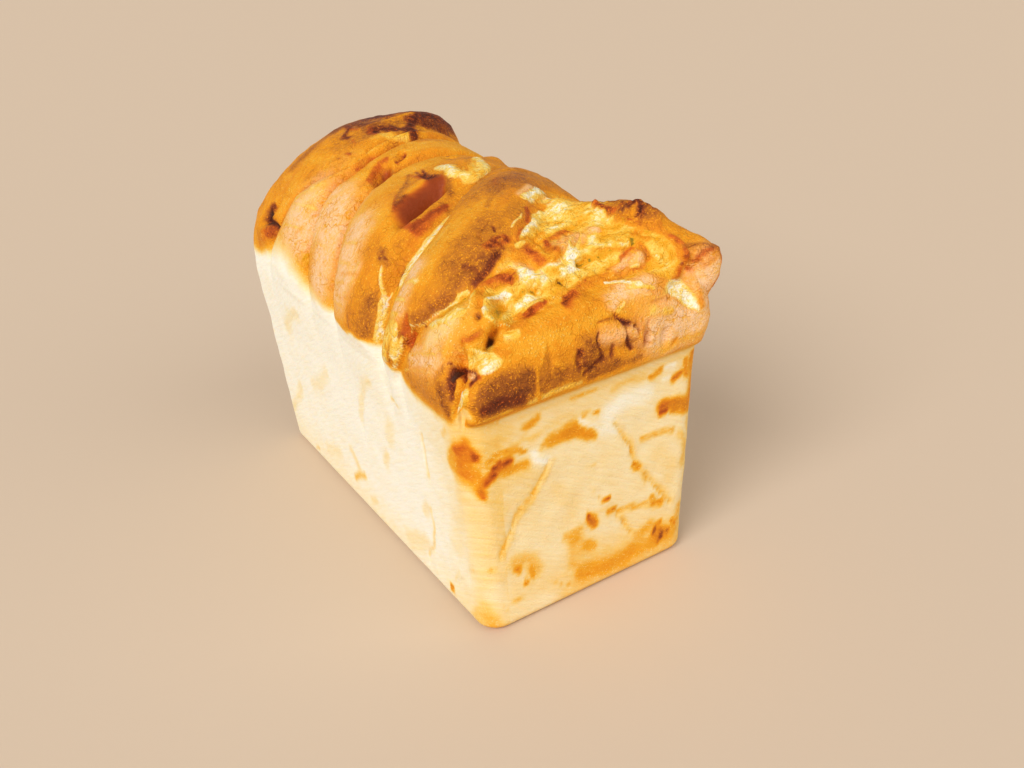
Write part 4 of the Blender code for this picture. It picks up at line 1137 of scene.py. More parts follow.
look = {name: np.zeros(len(S)) for name in ("bake", "red", "peach", "cheese", "curd", "burnt", "even", "torn")}
ground = 0.455 + 0.07 * layered(BASE, 20.0, 140)
ground = np.where((T > first) & (T < second) & (S < 58), 0.40, ground)
ground = np.where((T > second) & (T < third), 0.56 - 0.14 * smooth(4, 24, T - second) * (1 - smooth(60, 85, S)), ground)
ground = np.where((T > third) & (T < fourth), 0.50 - 0.1 * smooth(20, 40, T - third), ground)
ground = np.where((T > fourth) & (T < fifth), 0.41, ground)
ground = np.where((T > fifth) & (T < sixth), 0.42, ground)
ground = ground + 0.05 * layered(BASE, 8.0, 145)
GROUND_DABS = (
    # level, strength, middle s, t, two radii, turn, hardness
    (0.80, 0.95, 42, 12.5, 19, 8.5, 0, 3.6),  # dark glossy end of the front roll
    (0.60, 0.7, 66, 12, 9, 9, 0, 2.6),
    (0.66, 0.8, 88, 12, 12, 7, 0, 2.6),  # rough crust beside it
    (0.54, 0.7, 102, 14, 10, 9, 0, 2.6),
    (0.40, 0.8, 80, 25, 26, 4, 0, 2.6),
    (0.34, 0.9, 130, 14, 17, 12, 0, 2.6),  # pale dough at the right end of the roll
    (0.62, 0.7, 10, 48, 7, 28, 0, 3.0),  # brown rim low on the left
    (0.55, 0.6, 22, 62, 8, 9, 0, 2.6),
    (0.58, 0.7, 66, 68, 22, 7, 0, 2.6),  # brown top of the middle lobe
    (0.60, 0.6, 108, 101, 13, 8, 25, 2.6),
    # lighter on the left slope of this lobe, partly a painted highlight
    (0.58, 0.7, 17, 107, 13, 8, 0, 2.6),  # darker foot of the lobe behind
    (0.36, 0.6, 42, 135, 16, 11, 0, 2.6),
    (0.60, 0.6, 80, 134, 16, 10, 0, 2.6),
    (0.62, 0.7, 100, 205, 20, 13, 0, 2.6),  # last lobe
    (0.60, 0.6, 120, 232, 24, 12, 0, 2.6),
    (0.64, 0.7, 132, 66, 14, 8, -35, 2.6),  # crusty ridge
    (0.60, 0.6, 156, 100, 12, 22, 0, 2.6),  # right flank
    (0.62, 0.6, 150, 150, 16, 12, 0, 2.6),
    (0.60, 0.5, 80, 246, 30, 14, 0, 2.6),
)
for level, strength, *where in GROUND_DABS:
    ground = paint(ground, level, strength * dab(*where))
# Painted shade: the ground drawn darker along the creases from the back of the middle lobe on.
for crease, more in ((third, 0.08), (fourth, 0.13), (fifth, 0.11), (sixth, 0.13)):
    ground = ground + more * np.exp(-(((T - crease - 0.4) / 1.5) ** 2)) * smooth(14, 30, S)
ground = ground + 0.14 * rough * (crags(BASE, 5.0, 70) - 0.35)
look["bake"] = ground
# Peach, partly paler crust, partly a painted highlight on the slopes that face the light.
PEACH_AND_HIGHLIGHT_DABS = (
    # strength, middle s, t, two radii, turn
    (1.0, 130, 15, 20, 12, 0),  # right end of the front roll
    (0.6, 150, 32, 18, 9, 0),
    (0.5, 30, 54, 14, 10, 0),  # left slopes of the lobes
    (0.5, 40, 155, 28, 8, 0),
    (0.55, 40, 188, 28, 12, 0),
    (0.5, 40, 134, 18, 9, 0),
    (0.4, 164, 130, 12, 40, 0),
    (0.4, 40, 262, 20, 12, 0),
)
look["peach"] = np.clip(sum(dab(*where) * strength for strength, *where in PEACH_AND_HIGHLIGHT_DABS), 0, 1)
look["cheese"] = in_valley * np.clip(0.5 + 1.0 * layered(SLANTED, 5.0, 170), 0, 1) + 0.5 * strandy
look["curd"] = 0.62 + 0.5 * layered(SLANTED, 4.0, 180)
look["torn"] = in_valley + 0.7 * strandy + 0.5 * rough
print("ground baked from", round(float(ground[ON_TOP].min()), 2), "to", round(float(ground[ON_TOP].max()), 2))

# %% [markdown]
# ## Strokes over the ground
# The finer paint goes over the ground: first hatched fields of parallel strands, where layers of dough were torn apart,
# then every stroke of the tables in their order, so a late stroke covers an early one. A pigment only draws the values
# that it names and leaves the others as they were.

# %% Strokes over the ground


def strands(lie, length, width):
    """Parallel strands over the crown, 1 on a strand and 0 between; lie is their angle from s towards t."""
    k = math.radians(lie)
    along = (S * math.cos(k) + T * math.sin(k)) / length
    across = (T * math.cos(k) - S * math.sin(k)) / width
    return smooth(-0.05, 0.45, noise(np.stack([along, across, 0 * S], -1), 1.0, 400 + int(lie)))


for pigment, strength, s0, t0, rs, rt, turn, lie, length, width in HATCHES:
    mask = strength * dab(s0, t0, rs, rt, turn) * strands(lie, length, width)
    for name, level in PIGMENTS[pigment].items():
        look[name] = paint(look[name], level, mask)
for pigment, strength, width, height, path in CROWN_STROKES:
    mask = strength * smear(path, width)
    for name, level in PIGMENTS[pigment].items():
        look[name] = paint(look[name], level, mask)
look["curd"] = look["curd"] + 0.2 * layered(SLANTED, 2.6, 185) * in_valley
print("strokes laid; cheese shows on", int((look["cheese"] > 0.5).sum()), "vertices")

# %% [markdown]
# ## Where the browning stops
# Below the tin's rim the dough hardly browned. The border wanders up and down, a little above the rim on the left and
# at the front, and lower on the right, where the crown hangs over. It is sharpest beside the middle lobes and softest
# behind them. Below it the bread is cream, and a little more golden at the back, on the right and near the foot. The
# front end is drawn more golden and darker too, most near the corner: partly a painted shade, as the light comes from
# the left.

# %% Where the browning stops
wander = 1.4 * layered(BASE, 14.0, 150)
left_border = line(
    T,
    [0, 10, 24, 30, 70, 80, 88, 96, 100, 130, 150, 165, 178, 190, 202, 210, 225, 250, 287],
    [22, 20, 10, 3, 2, 8, 12, 12, 10, 11, 12, 13, 19, 24, 23, 16, 11, 12, 11],
)
fade = line(T, [0, 96, 100, 128, 150, 175, 205, 215], [3, 3, 1.6, 1.6, 4, 9, 9, 3])
from_left = smooth(-1.0, 1.0, (S - left_border + wander + 1.6 * layered(BASE, 5.0, 155)) / fade)
from_front = smooth(1.5, 5.5, T + wander * 0.6)
from_right = smooth(-1.0, 6.0, S_END - 4 - S + 2.5 * wander)
from_back = smooth(-1.0, 6.0, T_END - 6 - T + 3.5 * wander)
browned = from_left * from_front * from_right * from_back * ON_TOP
near_front = smooth(-HALF_L + 16, -HALF_L + TAPER + 0.5, BASE[:, 1])
pale = 0.01 + 0.03 * layered(BASE, 30.0, 160) + 0.02 * layered(BASE, 6.0, 165)
# The front end, most at its left near the corner and low down, drawn more golden and darker: partly painted shade.
pale = pale + near_front * (0.08 + 0.05 * smooth(-54, -40, BASE[:, 0])) + 0.07 * near_front * (1 - smooth(0, 40, Z))
pale = pale + 0.05 * smooth(HALF_W - 8, HALF_W - TAPER, BASE[:, 0])
pale = pale + 0.04 * smooth(HALF_L - 8, HALF_L - TAPER, BASE[:, 1])
# Painted shade beside the near corner, darker on both walls there.
pale = pale + 0.08 * (1 - smooth(-HALF_L + 4, -HALF_L + 50, BASE[:, 1])) * (BASE[:, 0] < -40)
pale = pale + 0.06 * (1 - smooth(2, 26, Z)) + 0.05 * near_front * smooth(76, 96, Z)
pale = pale + (0.10 + 0.14 * (1 - smooth(48, 60, S))) * ON_TOP * smooth(0, 3, T) * (1 - smooth(3, 9, T))
look["bake"] = pale + (look["bake"] - pale) * browned
for name in ("red", "peach", "cheese", "burnt"):
    look[name] = look[name] * browned
print("browned skin on", int((browned > 0.5).sum()), "vertices")

# %% [markdown]
# ## Toasted cheese on the walls
# Where cheese leaked between dough and tin it fried to golden and orange patches. The largest runs down the near
# corner in the shape of a V with dark tips. The front end is spotted all over, the left wall has only a few spots.

# %% Patches of the walls
FRONT_PATCHES = (
    # level, red, strength, width, path of places along the wall and heights
    # painted shade along the near corner
    (0.21, 0.0, 0.4, 7.0, [(-45, 62), (-45, 50), (-46, 36)]),
    (0.16, 0.0, 0.5, 8.0, [(-40, 30), (-34, 12), (-20, 8)]),
    (0.17, 0.0, 0.9, 4.6, [(-46, 93), (-20, 93), (4, 93), (24, 93)]),  # band under the front roll
    (0.24, 0.0, 0.8, 1.6, [(-44, 96), (-10, 96), (20, 95.6), (46, 96)]),
    (0.26, 0.0, 0.8, 5.5, [(-47, 92), (-43, 86), (-38, 91)]),
    (0.51, 0.2, 1.0, 3.4, [(-53, 80), (-51, 76), (-49, 70)]),  # the V at the near corner
    (0.76, 1.0, 1.0, 2.6, [(-53, 92), (-52, 88), (-50, 84)]),
    (0.70, 1.0, 1.0, 2.0, [(-49.6, 70), (-47.6, 67)]),
    (0.52, 0.7, 1.0, 2.6, [(-46, 73), (-42, 76.6), (-37, 78.6)]),
    (0.78, 1.0, 0.8, 1.0, [(-44, 77.6), (-40, 79.4), (-36, 78.4)]),
    (0.78, 1.0, 0.7, 1.0, [(-46, 72.6), (-43, 75)]),
    (0.47, 0.1, 1.0, 2.6, [(-38, 74), (-34, 74), (-30, 73.4)]),
    (0.45, 0.1, 0.9, 1.4, [(-45, 81), (-40, 83), (-34, 82.6), (-30, 80)]),
    (0.35, 0.0, 0.9, 1.5, [(-48, 80), (-45, 78.6)]),
    (0.22, 0.0, 0.8, 4.0, [(-42, 68), (-34, 70), (-30, 70)]),
    (0.02, 0.0, 0.9, 2.2, [(-26, 77), (-24, 74), (-21, 73)]),
    (0.45, 0.0, 1.0, 2.8, [(-18, 80), (-12, 81), (-8, 81)]),  # golden blob under the rim
    (0.49, 0.1, 1.0, 3.2, [(-10, 80.6), (-5, 79), (-1, 76.6)]),
    (0.47, 0.1, 0.9, 1.6, [(-2, 76), (1.4, 74.6)]),
    (0.33, 0.0, 0.8, 1.6, [(-22, 79), (-16, 83), (-8, 85)]),
    (0.02, 0.0, 0.9, 1.6, [(-5, 84), (-1, 81), (2, 79)]),
    (0.51, 0.3, 0.9, 0.9, [(-4, 86), (0, 86.4), (3, 84)]),
    (0.03, 0.0, 0.9, 4.6, [(8, 82), (16, 85), (26, 85)]),
    (0.03, 0.0, 0.8, 2.6, [(5, 76), (12, 74)]),
    (0.47, 0.1, 0.9, 1.8, [(-29, 90), (-26, 91), (-24, 92)]),
    (0.37, 0.0, 0.8, 1.2, [(-9, 95), (-2, 96), (3, 96)]),
    (0.49, 0.2, 1.0, 1.6, [(29, 91), (33, 92)]),
    (0.02, 0.0, 0.9, 1.4, [(36, 92), (39, 92.6)]),
    (0.55, 0.5, 1.0, 1.7, [(40, 87), (43, 88.4)]),
    (0.03, 0.0, 0.8, 1.2, [(35, 88), (37.4, 88)]),
    (0.49, 0.2, 1.0, 2.8, [(50, 95), (49.6, 86), (49.6, 78), (50, 70)]),
    (0.53, 0.4, 0.9, 1.4, [(45, 93), (46, 90), (46, 86)]),
    (0.52, 0.3, 1.0, 3.2, [(34, 75.6), (41, 75), (47, 73)]),
    (0.49, 0.2, 1.0, 1.8, [(40, 72), (46, 70), (49, 70)]),
    (0.70, 0.9, 1.0, 1.1, [(33, 73), (36, 73)]),
    (0.56, 0.7, 0.8, 1.6, [(33, 75), (36, 76)]),
    (0.38, 0.0, 0.8, 1.7, [(25, 64), (32, 64), (40, 63)]),
    (0.35, 0.0, 0.5, 2.2, [(50, 64), (50, 50), (49, 36)]),
    (0.47, 0.1, 0.9, 1.7, [(20.6, 54), (22.4, 52)]),  # node on the long crease
    (0.33, 0.0, 0.6, 1.2, [(19, 60), (27, 43)]),
    (0.62, 0.7, 0.9, 0.9, [(3.4, 44), (9, 43)]),
    (0.55, 0.5, 1.0, 2.2, [(-1, 37), (0.6, 33.4)]),
    (0.68, 0.9, 0.9, 0.8, [(-2.6, 39.4), (-2, 37.4)]),
    (0.49, 0.3, 1.0, 1.5, [(8, 35.6), (11.4, 36)]),
    (0.24, 0.0, 0.6, 1.2, [(0, 38), (10, 39)]),
    (0.47, 0.1, 0.9, 1.9, [(30.4, 33), (32, 29.6), (34.6, 29)]),
    (0.56, 0.4, 0.8, 0.9, [(31.6, 30)]),
    (0.38, 0.0, 1.0, 3.8, [(-8, 30), (-7, 24), (-8, 18)]),  # golden foot
    (0.24, 0.0, 0.8, 7.0, [(-6, 22), (2, 12), (18, 12), (34, 14)]),
    (0.35, 0.0, 0.9, 2.2, [(-12, 32), (-6, 34)]),
    (0.41, 0.0, 0.8, 2.2, [(-3, 24), (0, 22)]),
    (0.41, 0.0, 1.0, 4.4, [(-5, 11), (6, 9), (18, 9)]),
    (0.39, 0.0, 0.9, 4.0, [(22, 10), (30, 9)]),
    (0.35, 0.0, 0.8, 3.0, [(24, 17), (30, 20)]),
    (0.55, 0.3, 0.9, 4.2, [(34, 13), (37, 12)]),  # ring of dark spots
    (0.74, 0.5, 0.9, 1.0, [(31.6, 15), (33, 18), (36, 18.4)]),
    (0.78, 0.5, 0.9, 1.1, [(35, 14), (36, 11.4), (34, 9.6)]),
    (0.70, 0.4, 0.8, 0.9, [(38.6, 14), (39.4, 11)]),
    (0.66, 0.4, 0.9, 1.5, [(41.6, 16.6), (42.6, 15)]),
    (0.37, 0.0, 0.7, 3.0, [(40, 8), (45, 14), (46, 22)]),
    (0.35, 0.0, 0.8, 4.0, [(-36, 31), (-30, 30), (-27, 24)]),
    (0.56, 0.3, 0.9, 1.6, [(-36.4, 27.6), (-35.4, 26.6)]),
    (0.52, 0.3, 0.9, 1.2, [(-32.4, 20.4), (-31.6, 19)]),
    (0.45, 0.1, 0.8, 1.2, [(-29, 25), (-28, 21)]),
    (0.45, 0.1, 0.6, 0.8, [(-40, 12), (-36, 12), (-33, 13)]),
    (0.41, 0.1, 0.6, 0.7, [(-43, 13), (-40, 9)]),
    (0.39, 0.0, 0.6, 0.7, [(-20, 14), (-16, 11), (-12, 8)]),
    (0.45, 0.1, 0.7, 0.7, [(-53, 33), (-48, 32.4)]),
    (0.22, 0.0, 0.6, 3.0, [(-40, 58), (-30, 62), (-24, 68)]),
    (0.24, 0.0, 0.5, 2.2, [(-33, 54), (-28, 60)]),
    (0.22, 0.0, 0.5, 4.0, [(-16, 56), (-8, 48), (-12, 40)]),
    (0.22, 0.0, 0.5, 4.0, [(34, 54), (40, 44), (38, 36)]),
    (0.31, 0.0, 0.5, 0.8, [(-2, 62), (2, 61)]),
    (0.31, 0.0, 0.5, 0.8, [(-1, 50), (1, 48)]),
    (0.05, 0.0, 0.5, 5.0, [(-46, 20), (-40, 6), (-22, 6)]),
    (0.05, 0.0, 0.4, 3.0, [(6, 30), (12, 27)]),
    (0.22, 0.0, 0.7, 1.4, [(12, 34), (24, 32), (34, 30)]),
    (0.22, 0.0, 0.7, 1.3, [(13, 31), (17, 25), (20, 21)]),
    (0.24, 0.0, 0.7, 1.8, [(-26, 84), (-18, 87), (-10, 88)]),
    (0.34, 0.0, 0.6, 1.2, [(10, 92), (18, 93), (26, 92)]),
    (0.32, 0.0, 0.7, 2.0, [(44, 60), (47, 52), (46, 44)]),
    (0.30, 0.0, 0.6, 1.4, [(-36, 84), (-30, 86), (-24, 85)]),
)
LEFT_PATCHES = (
    (0.62, 0.9, 1.0, 3.0, [(-104, 90), (-101, 86)]),
    (0.48, 0.5, 1.0, 4.6, [(-103, 84), (-99, 80), (-102, 76)]),
    (0.38, 0.0, 0.9, 3.0, [(-97, 84), (-94, 78)]),
    (0.30, 0.0, 0.8, 3.0, [(-103, 71), (-97, 73)]),
    (0.20, 0.0, 0.7, 5.0, [(-104, 62), (-98, 66)]),
    (0.28, 0.0, 0.6, 1.4, [(-96, 94), (-92, 90)]),
    (0.66, 0.4, 0.9, 1.0, [(-76, 8.4), (-74, 8), (-73.4, 6.4), (-75.6, 6)]),
    (0.34, 0.0, 0.6, 2.0, [(-75, 7)]),
    (0.30, 0.0, 0.7, 0.9, [(-54, 84), (-50, 86.4), (-46, 84)]),
    (0.20, 0.0, 0.6, 1.0, [(-72, 80), (-71, 70), (-70, 60)]),
    (0.24, 0.0, 0.7, 0.9, [(-67, 44), (-66, 32), (-62, 22), (-56, 12)]),
    (0.16, 0.0, 0.7, 3.0, [(-64, 42), (-60, 38)]),
    (0.15, 0.0, 0.7, 5.0, [(-56, 20), (-46, 15), (-38, 10)]),
    (0.16, 0.0, 0.7, 2.6, [(-30, 50), (-26, 45)]),
    (0.15, 0.0, 0.6, 2.6, [(-28, 86), (-19, 80), (-12, 70), (-7, 58)]),
    (0.32, 0.0, 0.9, 1.9, [(5, 22), (12, 18), (18, 14)]),
    (0.20, 0.0, 0.7, 2.6, [(10, 22), (16, 30)]),
    (0.22, 0.0, 0.6, 2.2, [(-4, 12), (1, 10)]),
    (0.30, 0.0, 0.7, 1.3, [(67, 6.4), (71, 5)]),
    (0.34, 0.0, 0.9, 2.6, [(98, 63), (103, 60)]),
    (0.20, 0.0, 0.6, 2.4, [(98, 48), (104, 44)]),
    (0.16, 0.0, 0.7, 3.4, [(74, 40), (84, 29), (96, 16)]),
    (0.15, 0.0, 0.6, 4.0, [(50, 89), (62, 84), (72, 74)]),
    (0.30, 0.0, 0.6, 3.0, [(-104, 10), (-96, 8), (-92, 5)]),
    (0.26, 0.0, 0.6, 1.0, [(-103, 16), (-97, 12)]),
    (0.22, 0.0, 0.5, 0.9, [(-84, 22), (-78, 14)]),
    (0.14, 0.0, 0.6, 5.0, [(-92, 52), (-86, 36)]),
    (0.14, 0.0, 0.6, 4.0, [(-40, 70), (-36, 60)]),
    (0.14, 0.0, 0.6, 4.0, [(28, 66), (40, 56), (52, 50)]),
    (0.14, 0.0, 0.6, 4.0, [(34, 20), (50, 14)]),
)
RIGHT_PATCHES = (
    (0.46, 0.3, 1.0, 5.0, [(-70, 88), (-60, 83), (-52, 78)]),
    (0.62, 0.8, 0.8, 1.8, [(-64, 82), (-60, 80)]),
    (0.38, 0.1, 0.9, 3.4, [(-46, 74), (-42, 68)]),
    (0.44, 0.2, 0.9, 3.4, [(-104, 92), (-101, 80), (-103, 72)]),
    (0.46, 0.3, 1.0, 4.0, [(20, 90), (34, 88), (46, 87)]),
    (0.40, 0.1, 0.9, 3.0, [(46, 80), (50, 72)]),
    (0.36, 0.0, 0.9, 3.0, [(-12, 41), (-2, 39)]),
    (0.62, 0.5, 0.9, 1.6, [(-84, 22), (-81, 20)]),
    (0.30, 0.0, 0.8, 5.0, [(66, 30), (80, 26)]),
    (0.30, 0.0, 0.8, 4.0, [(-44, 9), (-20, 8), (0, 9)]),
    (0.56, 0.4, 0.9, 1.5, [(88, 62), (90, 59)]),
    (0.26, 0.0, 0.6, 2.0, [(30, 60), (36, 52)]),
    (0.22, 0.0, 0.6, 5.0, [(-80, 50), (-60, 40)]),
)
BACK_PATCHES = (
    (0.44, 0.2, 1.0, 4.6, [(30, 88), (22, 84), (16, 80)]),
    (0.48, 0.4, 1.0, 3.8, [(-16, 84), (-20, 77), (-25, 72)]),
    (0.64, 0.8, 0.8, 1.6, [(-21, 76), (-24, 73)]),
    (0.36, 0.0, 0.9, 3.4, [(-8, 52), (-5, 44)]),
    (0.32, 0.0, 0.8, 5.0, [(8, 12), (24, 14), (36, 11)]),
    (0.56, 0.4, 0.9, 1.6, [(33, 35), (36, 33)]),
    (0.46, 0.2, 0.8, 2.0, [(-40, 27), (-36, 25)]),
    (0.26, 0.0, 0.6, 2.4, [(10, 64), (16, 56)]),
)
WALL_PATCHES = (("front", FRONT_PATCHES), ("left", LEFT_PATCHES), ("right", RIGHT_PATCHES), ("back", BACK_PATCHES))
for wall, patches in WALL_PATCHES:
    for level, redness, strength, width, path in patches:
        mask = strength * wall_line(wall, path, width)
        look["bake"] = paint(look["bake"], level, mask)
        look["red"] = paint(look["red"], redness, mask)
    print(len(patches), "patches on the", wall, "wall")
# Painted shade in the wall creases, strongest on the front end; there the lips beside them are a little more golden.
look["bake"] = look["bake"] + creased * (0.01 + 0.09 * near_front) + 0.07 * lipped * near_front

# %% [markdown]
# ## Values on the vertices
# The painted values are stored on the mesh, one number for each vertex under each name, where the finish can read
# them. They travel with the mesh, so the finish needs no picture.

# %% Values on the vertices


def keep_values(**values):
    """Stores one number for each vertex under each name."""
    for name, numbers in values.items():
        layer = bread.data.attributes.new(name, "FLOAT", "POINT")
        layer.data.foreach_set("value", np.clip(numbers, 0, 1).astype(np.float32))


keep_values(rough=rough, browned=browned, **look)
print("stored:", ", ".join(["rough", "browned", *look]))

# %% [markdown]
# ## Shader values as Python
# A finish is a small calculation for each place of the surface. Writing it with Python's own signs keeps it readable:
# the class below wraps the socket of a node, and a plus or a minus on it adds the Math node that does the same.

# %% Sockets with signs


class Value:
    """A socket of a material's node tree; signs on it add Math nodes."""

    def __init__(self, tree, socket=None):
        self.tree = tree
        self.socket = socket

    def node(self, kind, settings=None, sockets=None, out=0):
        """Adds any node: its settings first, then what its sockets hold or are linked to."""
        made = self.tree.nodes.new(kind)
        for name, setting in (settings or {}).items():
            if name == "stops":
                self.set_stops(made.color_ramp, setting)
            else:
                setattr(made, name, setting)
        for name, given in (sockets or {}).items():
            if isinstance(given, Value):
                self.tree.links.new(given.socket, made.inputs[name])
            else:
                made.inputs[name].default_value = given
        return Value(self.tree, made.outputs[out])

    @staticmethod
    def set_stops(ramp, stops):
        """A ramp's stops, each a place and a colour."""
        while len(ramp.elements) < len(stops):
            ramp.elements.new(0.5)
        for element, (position, colour) in zip(ramp.elements, stops):
            element.position = position
            element.color = (*colour, 1.0)

    def math(self, operation, *others):
        """One Math node on this value."""
        sockets = dict(enumerate((self, *others)))
        return self.node("ShaderNodeMath", {"operation": operation}, sockets)

    def __add__(self, other):
        return self.math("ADD", other)

    def __radd__(self, other):
        return self.math("ADD", other)

    def __sub__(self, other):
        return self.math("SUBTRACT", other)

    def __rsub__(self, other):
        return self.node("ShaderNodeMath", {"operation": "SUBTRACT"}, {0: other, 1: self})

    def __mul__(self, other):
        return self.math("MULTIPLY", other)

    def __rmul__(self, other):
        return self.math("MULTIPLY", other)

    def clipped(self):
        """The value kept between 0 and 1."""
        return self.node("ShaderNodeClamp", None, {"Value": self})

    def between(self, low, high):
        """0 at low, 1 at high, an even rise between them."""
        return self.node(
            "ShaderNodeMapRange",
            {"interpolation_type": "SMOOTHSTEP"},
            {"Value": self, "From Min": low, "From Max": high},
        )


def mixed(amount, under, over):
    """One colour laid over another by an amount."""
    return amount.node("ShaderNodeMix", {"data_type": "RGBA"}, {0: amount, 6: under, 7: over}, out=2)


print("shader signs ready")

# %% [markdown]
# ## The crust's colours
# The colours follow the baking in one ramp, from cream through gold and orange-brown to nearly black. Fine noise is
# added to the baking before the ramp, so each grain is a little more or less baked than its neighbour, which is what
# gives real crust its sparkle. The tints are laid over the ramp afterwards: the peach tint is partly pale crust and
# partly a painted highlight, and the near black is char and, in holes, a painted shade.

# %% Colours
BAKING_STOPS = (
    (0.00, (0.94, 0.91, 0.78)),
    (0.06, (0.94, 0.85, 0.62)),
    (0.13, (0.93, 0.76, 0.43)),
    (0.26, (0.91, 0.60, 0.17)),
    (0.38, (0.88, 0.415, 0.026)),
    (0.52, (0.81, 0.29, 0.007)),
    (0.64, (0.61, 0.205, 0.010)),
    (0.76, (0.38, 0.108, 0.010)),
    (0.88, (0.17, 0.042, 0.009)),
    (1.00, (0.06, 0.014, 0.005)),
)
RED_STOPS = (
    (0.00, (0.86, 0.36, 0.05)),
    (0.40, (0.80, 0.20, 0.012)),
    (0.60, (0.60, 0.10, 0.008)),
    (0.80, (0.28, 0.04, 0.006)),
    (1.00, (0.08, 0.012, 0.004)),
)
CHEESE_STOPS = (
    (0.00, (0.94, 0.86, 0.66)),
    (0.20, (0.94, 0.77, 0.40)),
    (0.42, (0.92, 0.63, 0.13)),
    (0.62, (0.91, 0.50, 0.05)),
    (0.80, (0.84, 0.36, 0.012)),
    (0.93, (0.76, 0.36, 0.012)),
    (1.00, (0.30, 0.19, 0.014)),
)
# Peach of pale crust and of the painted highlight.
PEACH_AND_HIGHLIGHT_COLOUR = (0.93, 0.59, 0.32, 1.0)
# Near black of char, and of the painted shade inside holes.
CHAR_AND_SHADE_COLOUR = (0.05, 0.014, 0.005, 1.0)
BUMP = {"Strength": 0.55, "Distance": 0.0012}
SOFTNESS = {
    "Specular IOR Level": 0.16,
    "Subsurface Weight": 0.06,
    "Subsurface Radius": (1.0, 0.5, 0.2),
    "Subsurface Scale": 0.002,
}


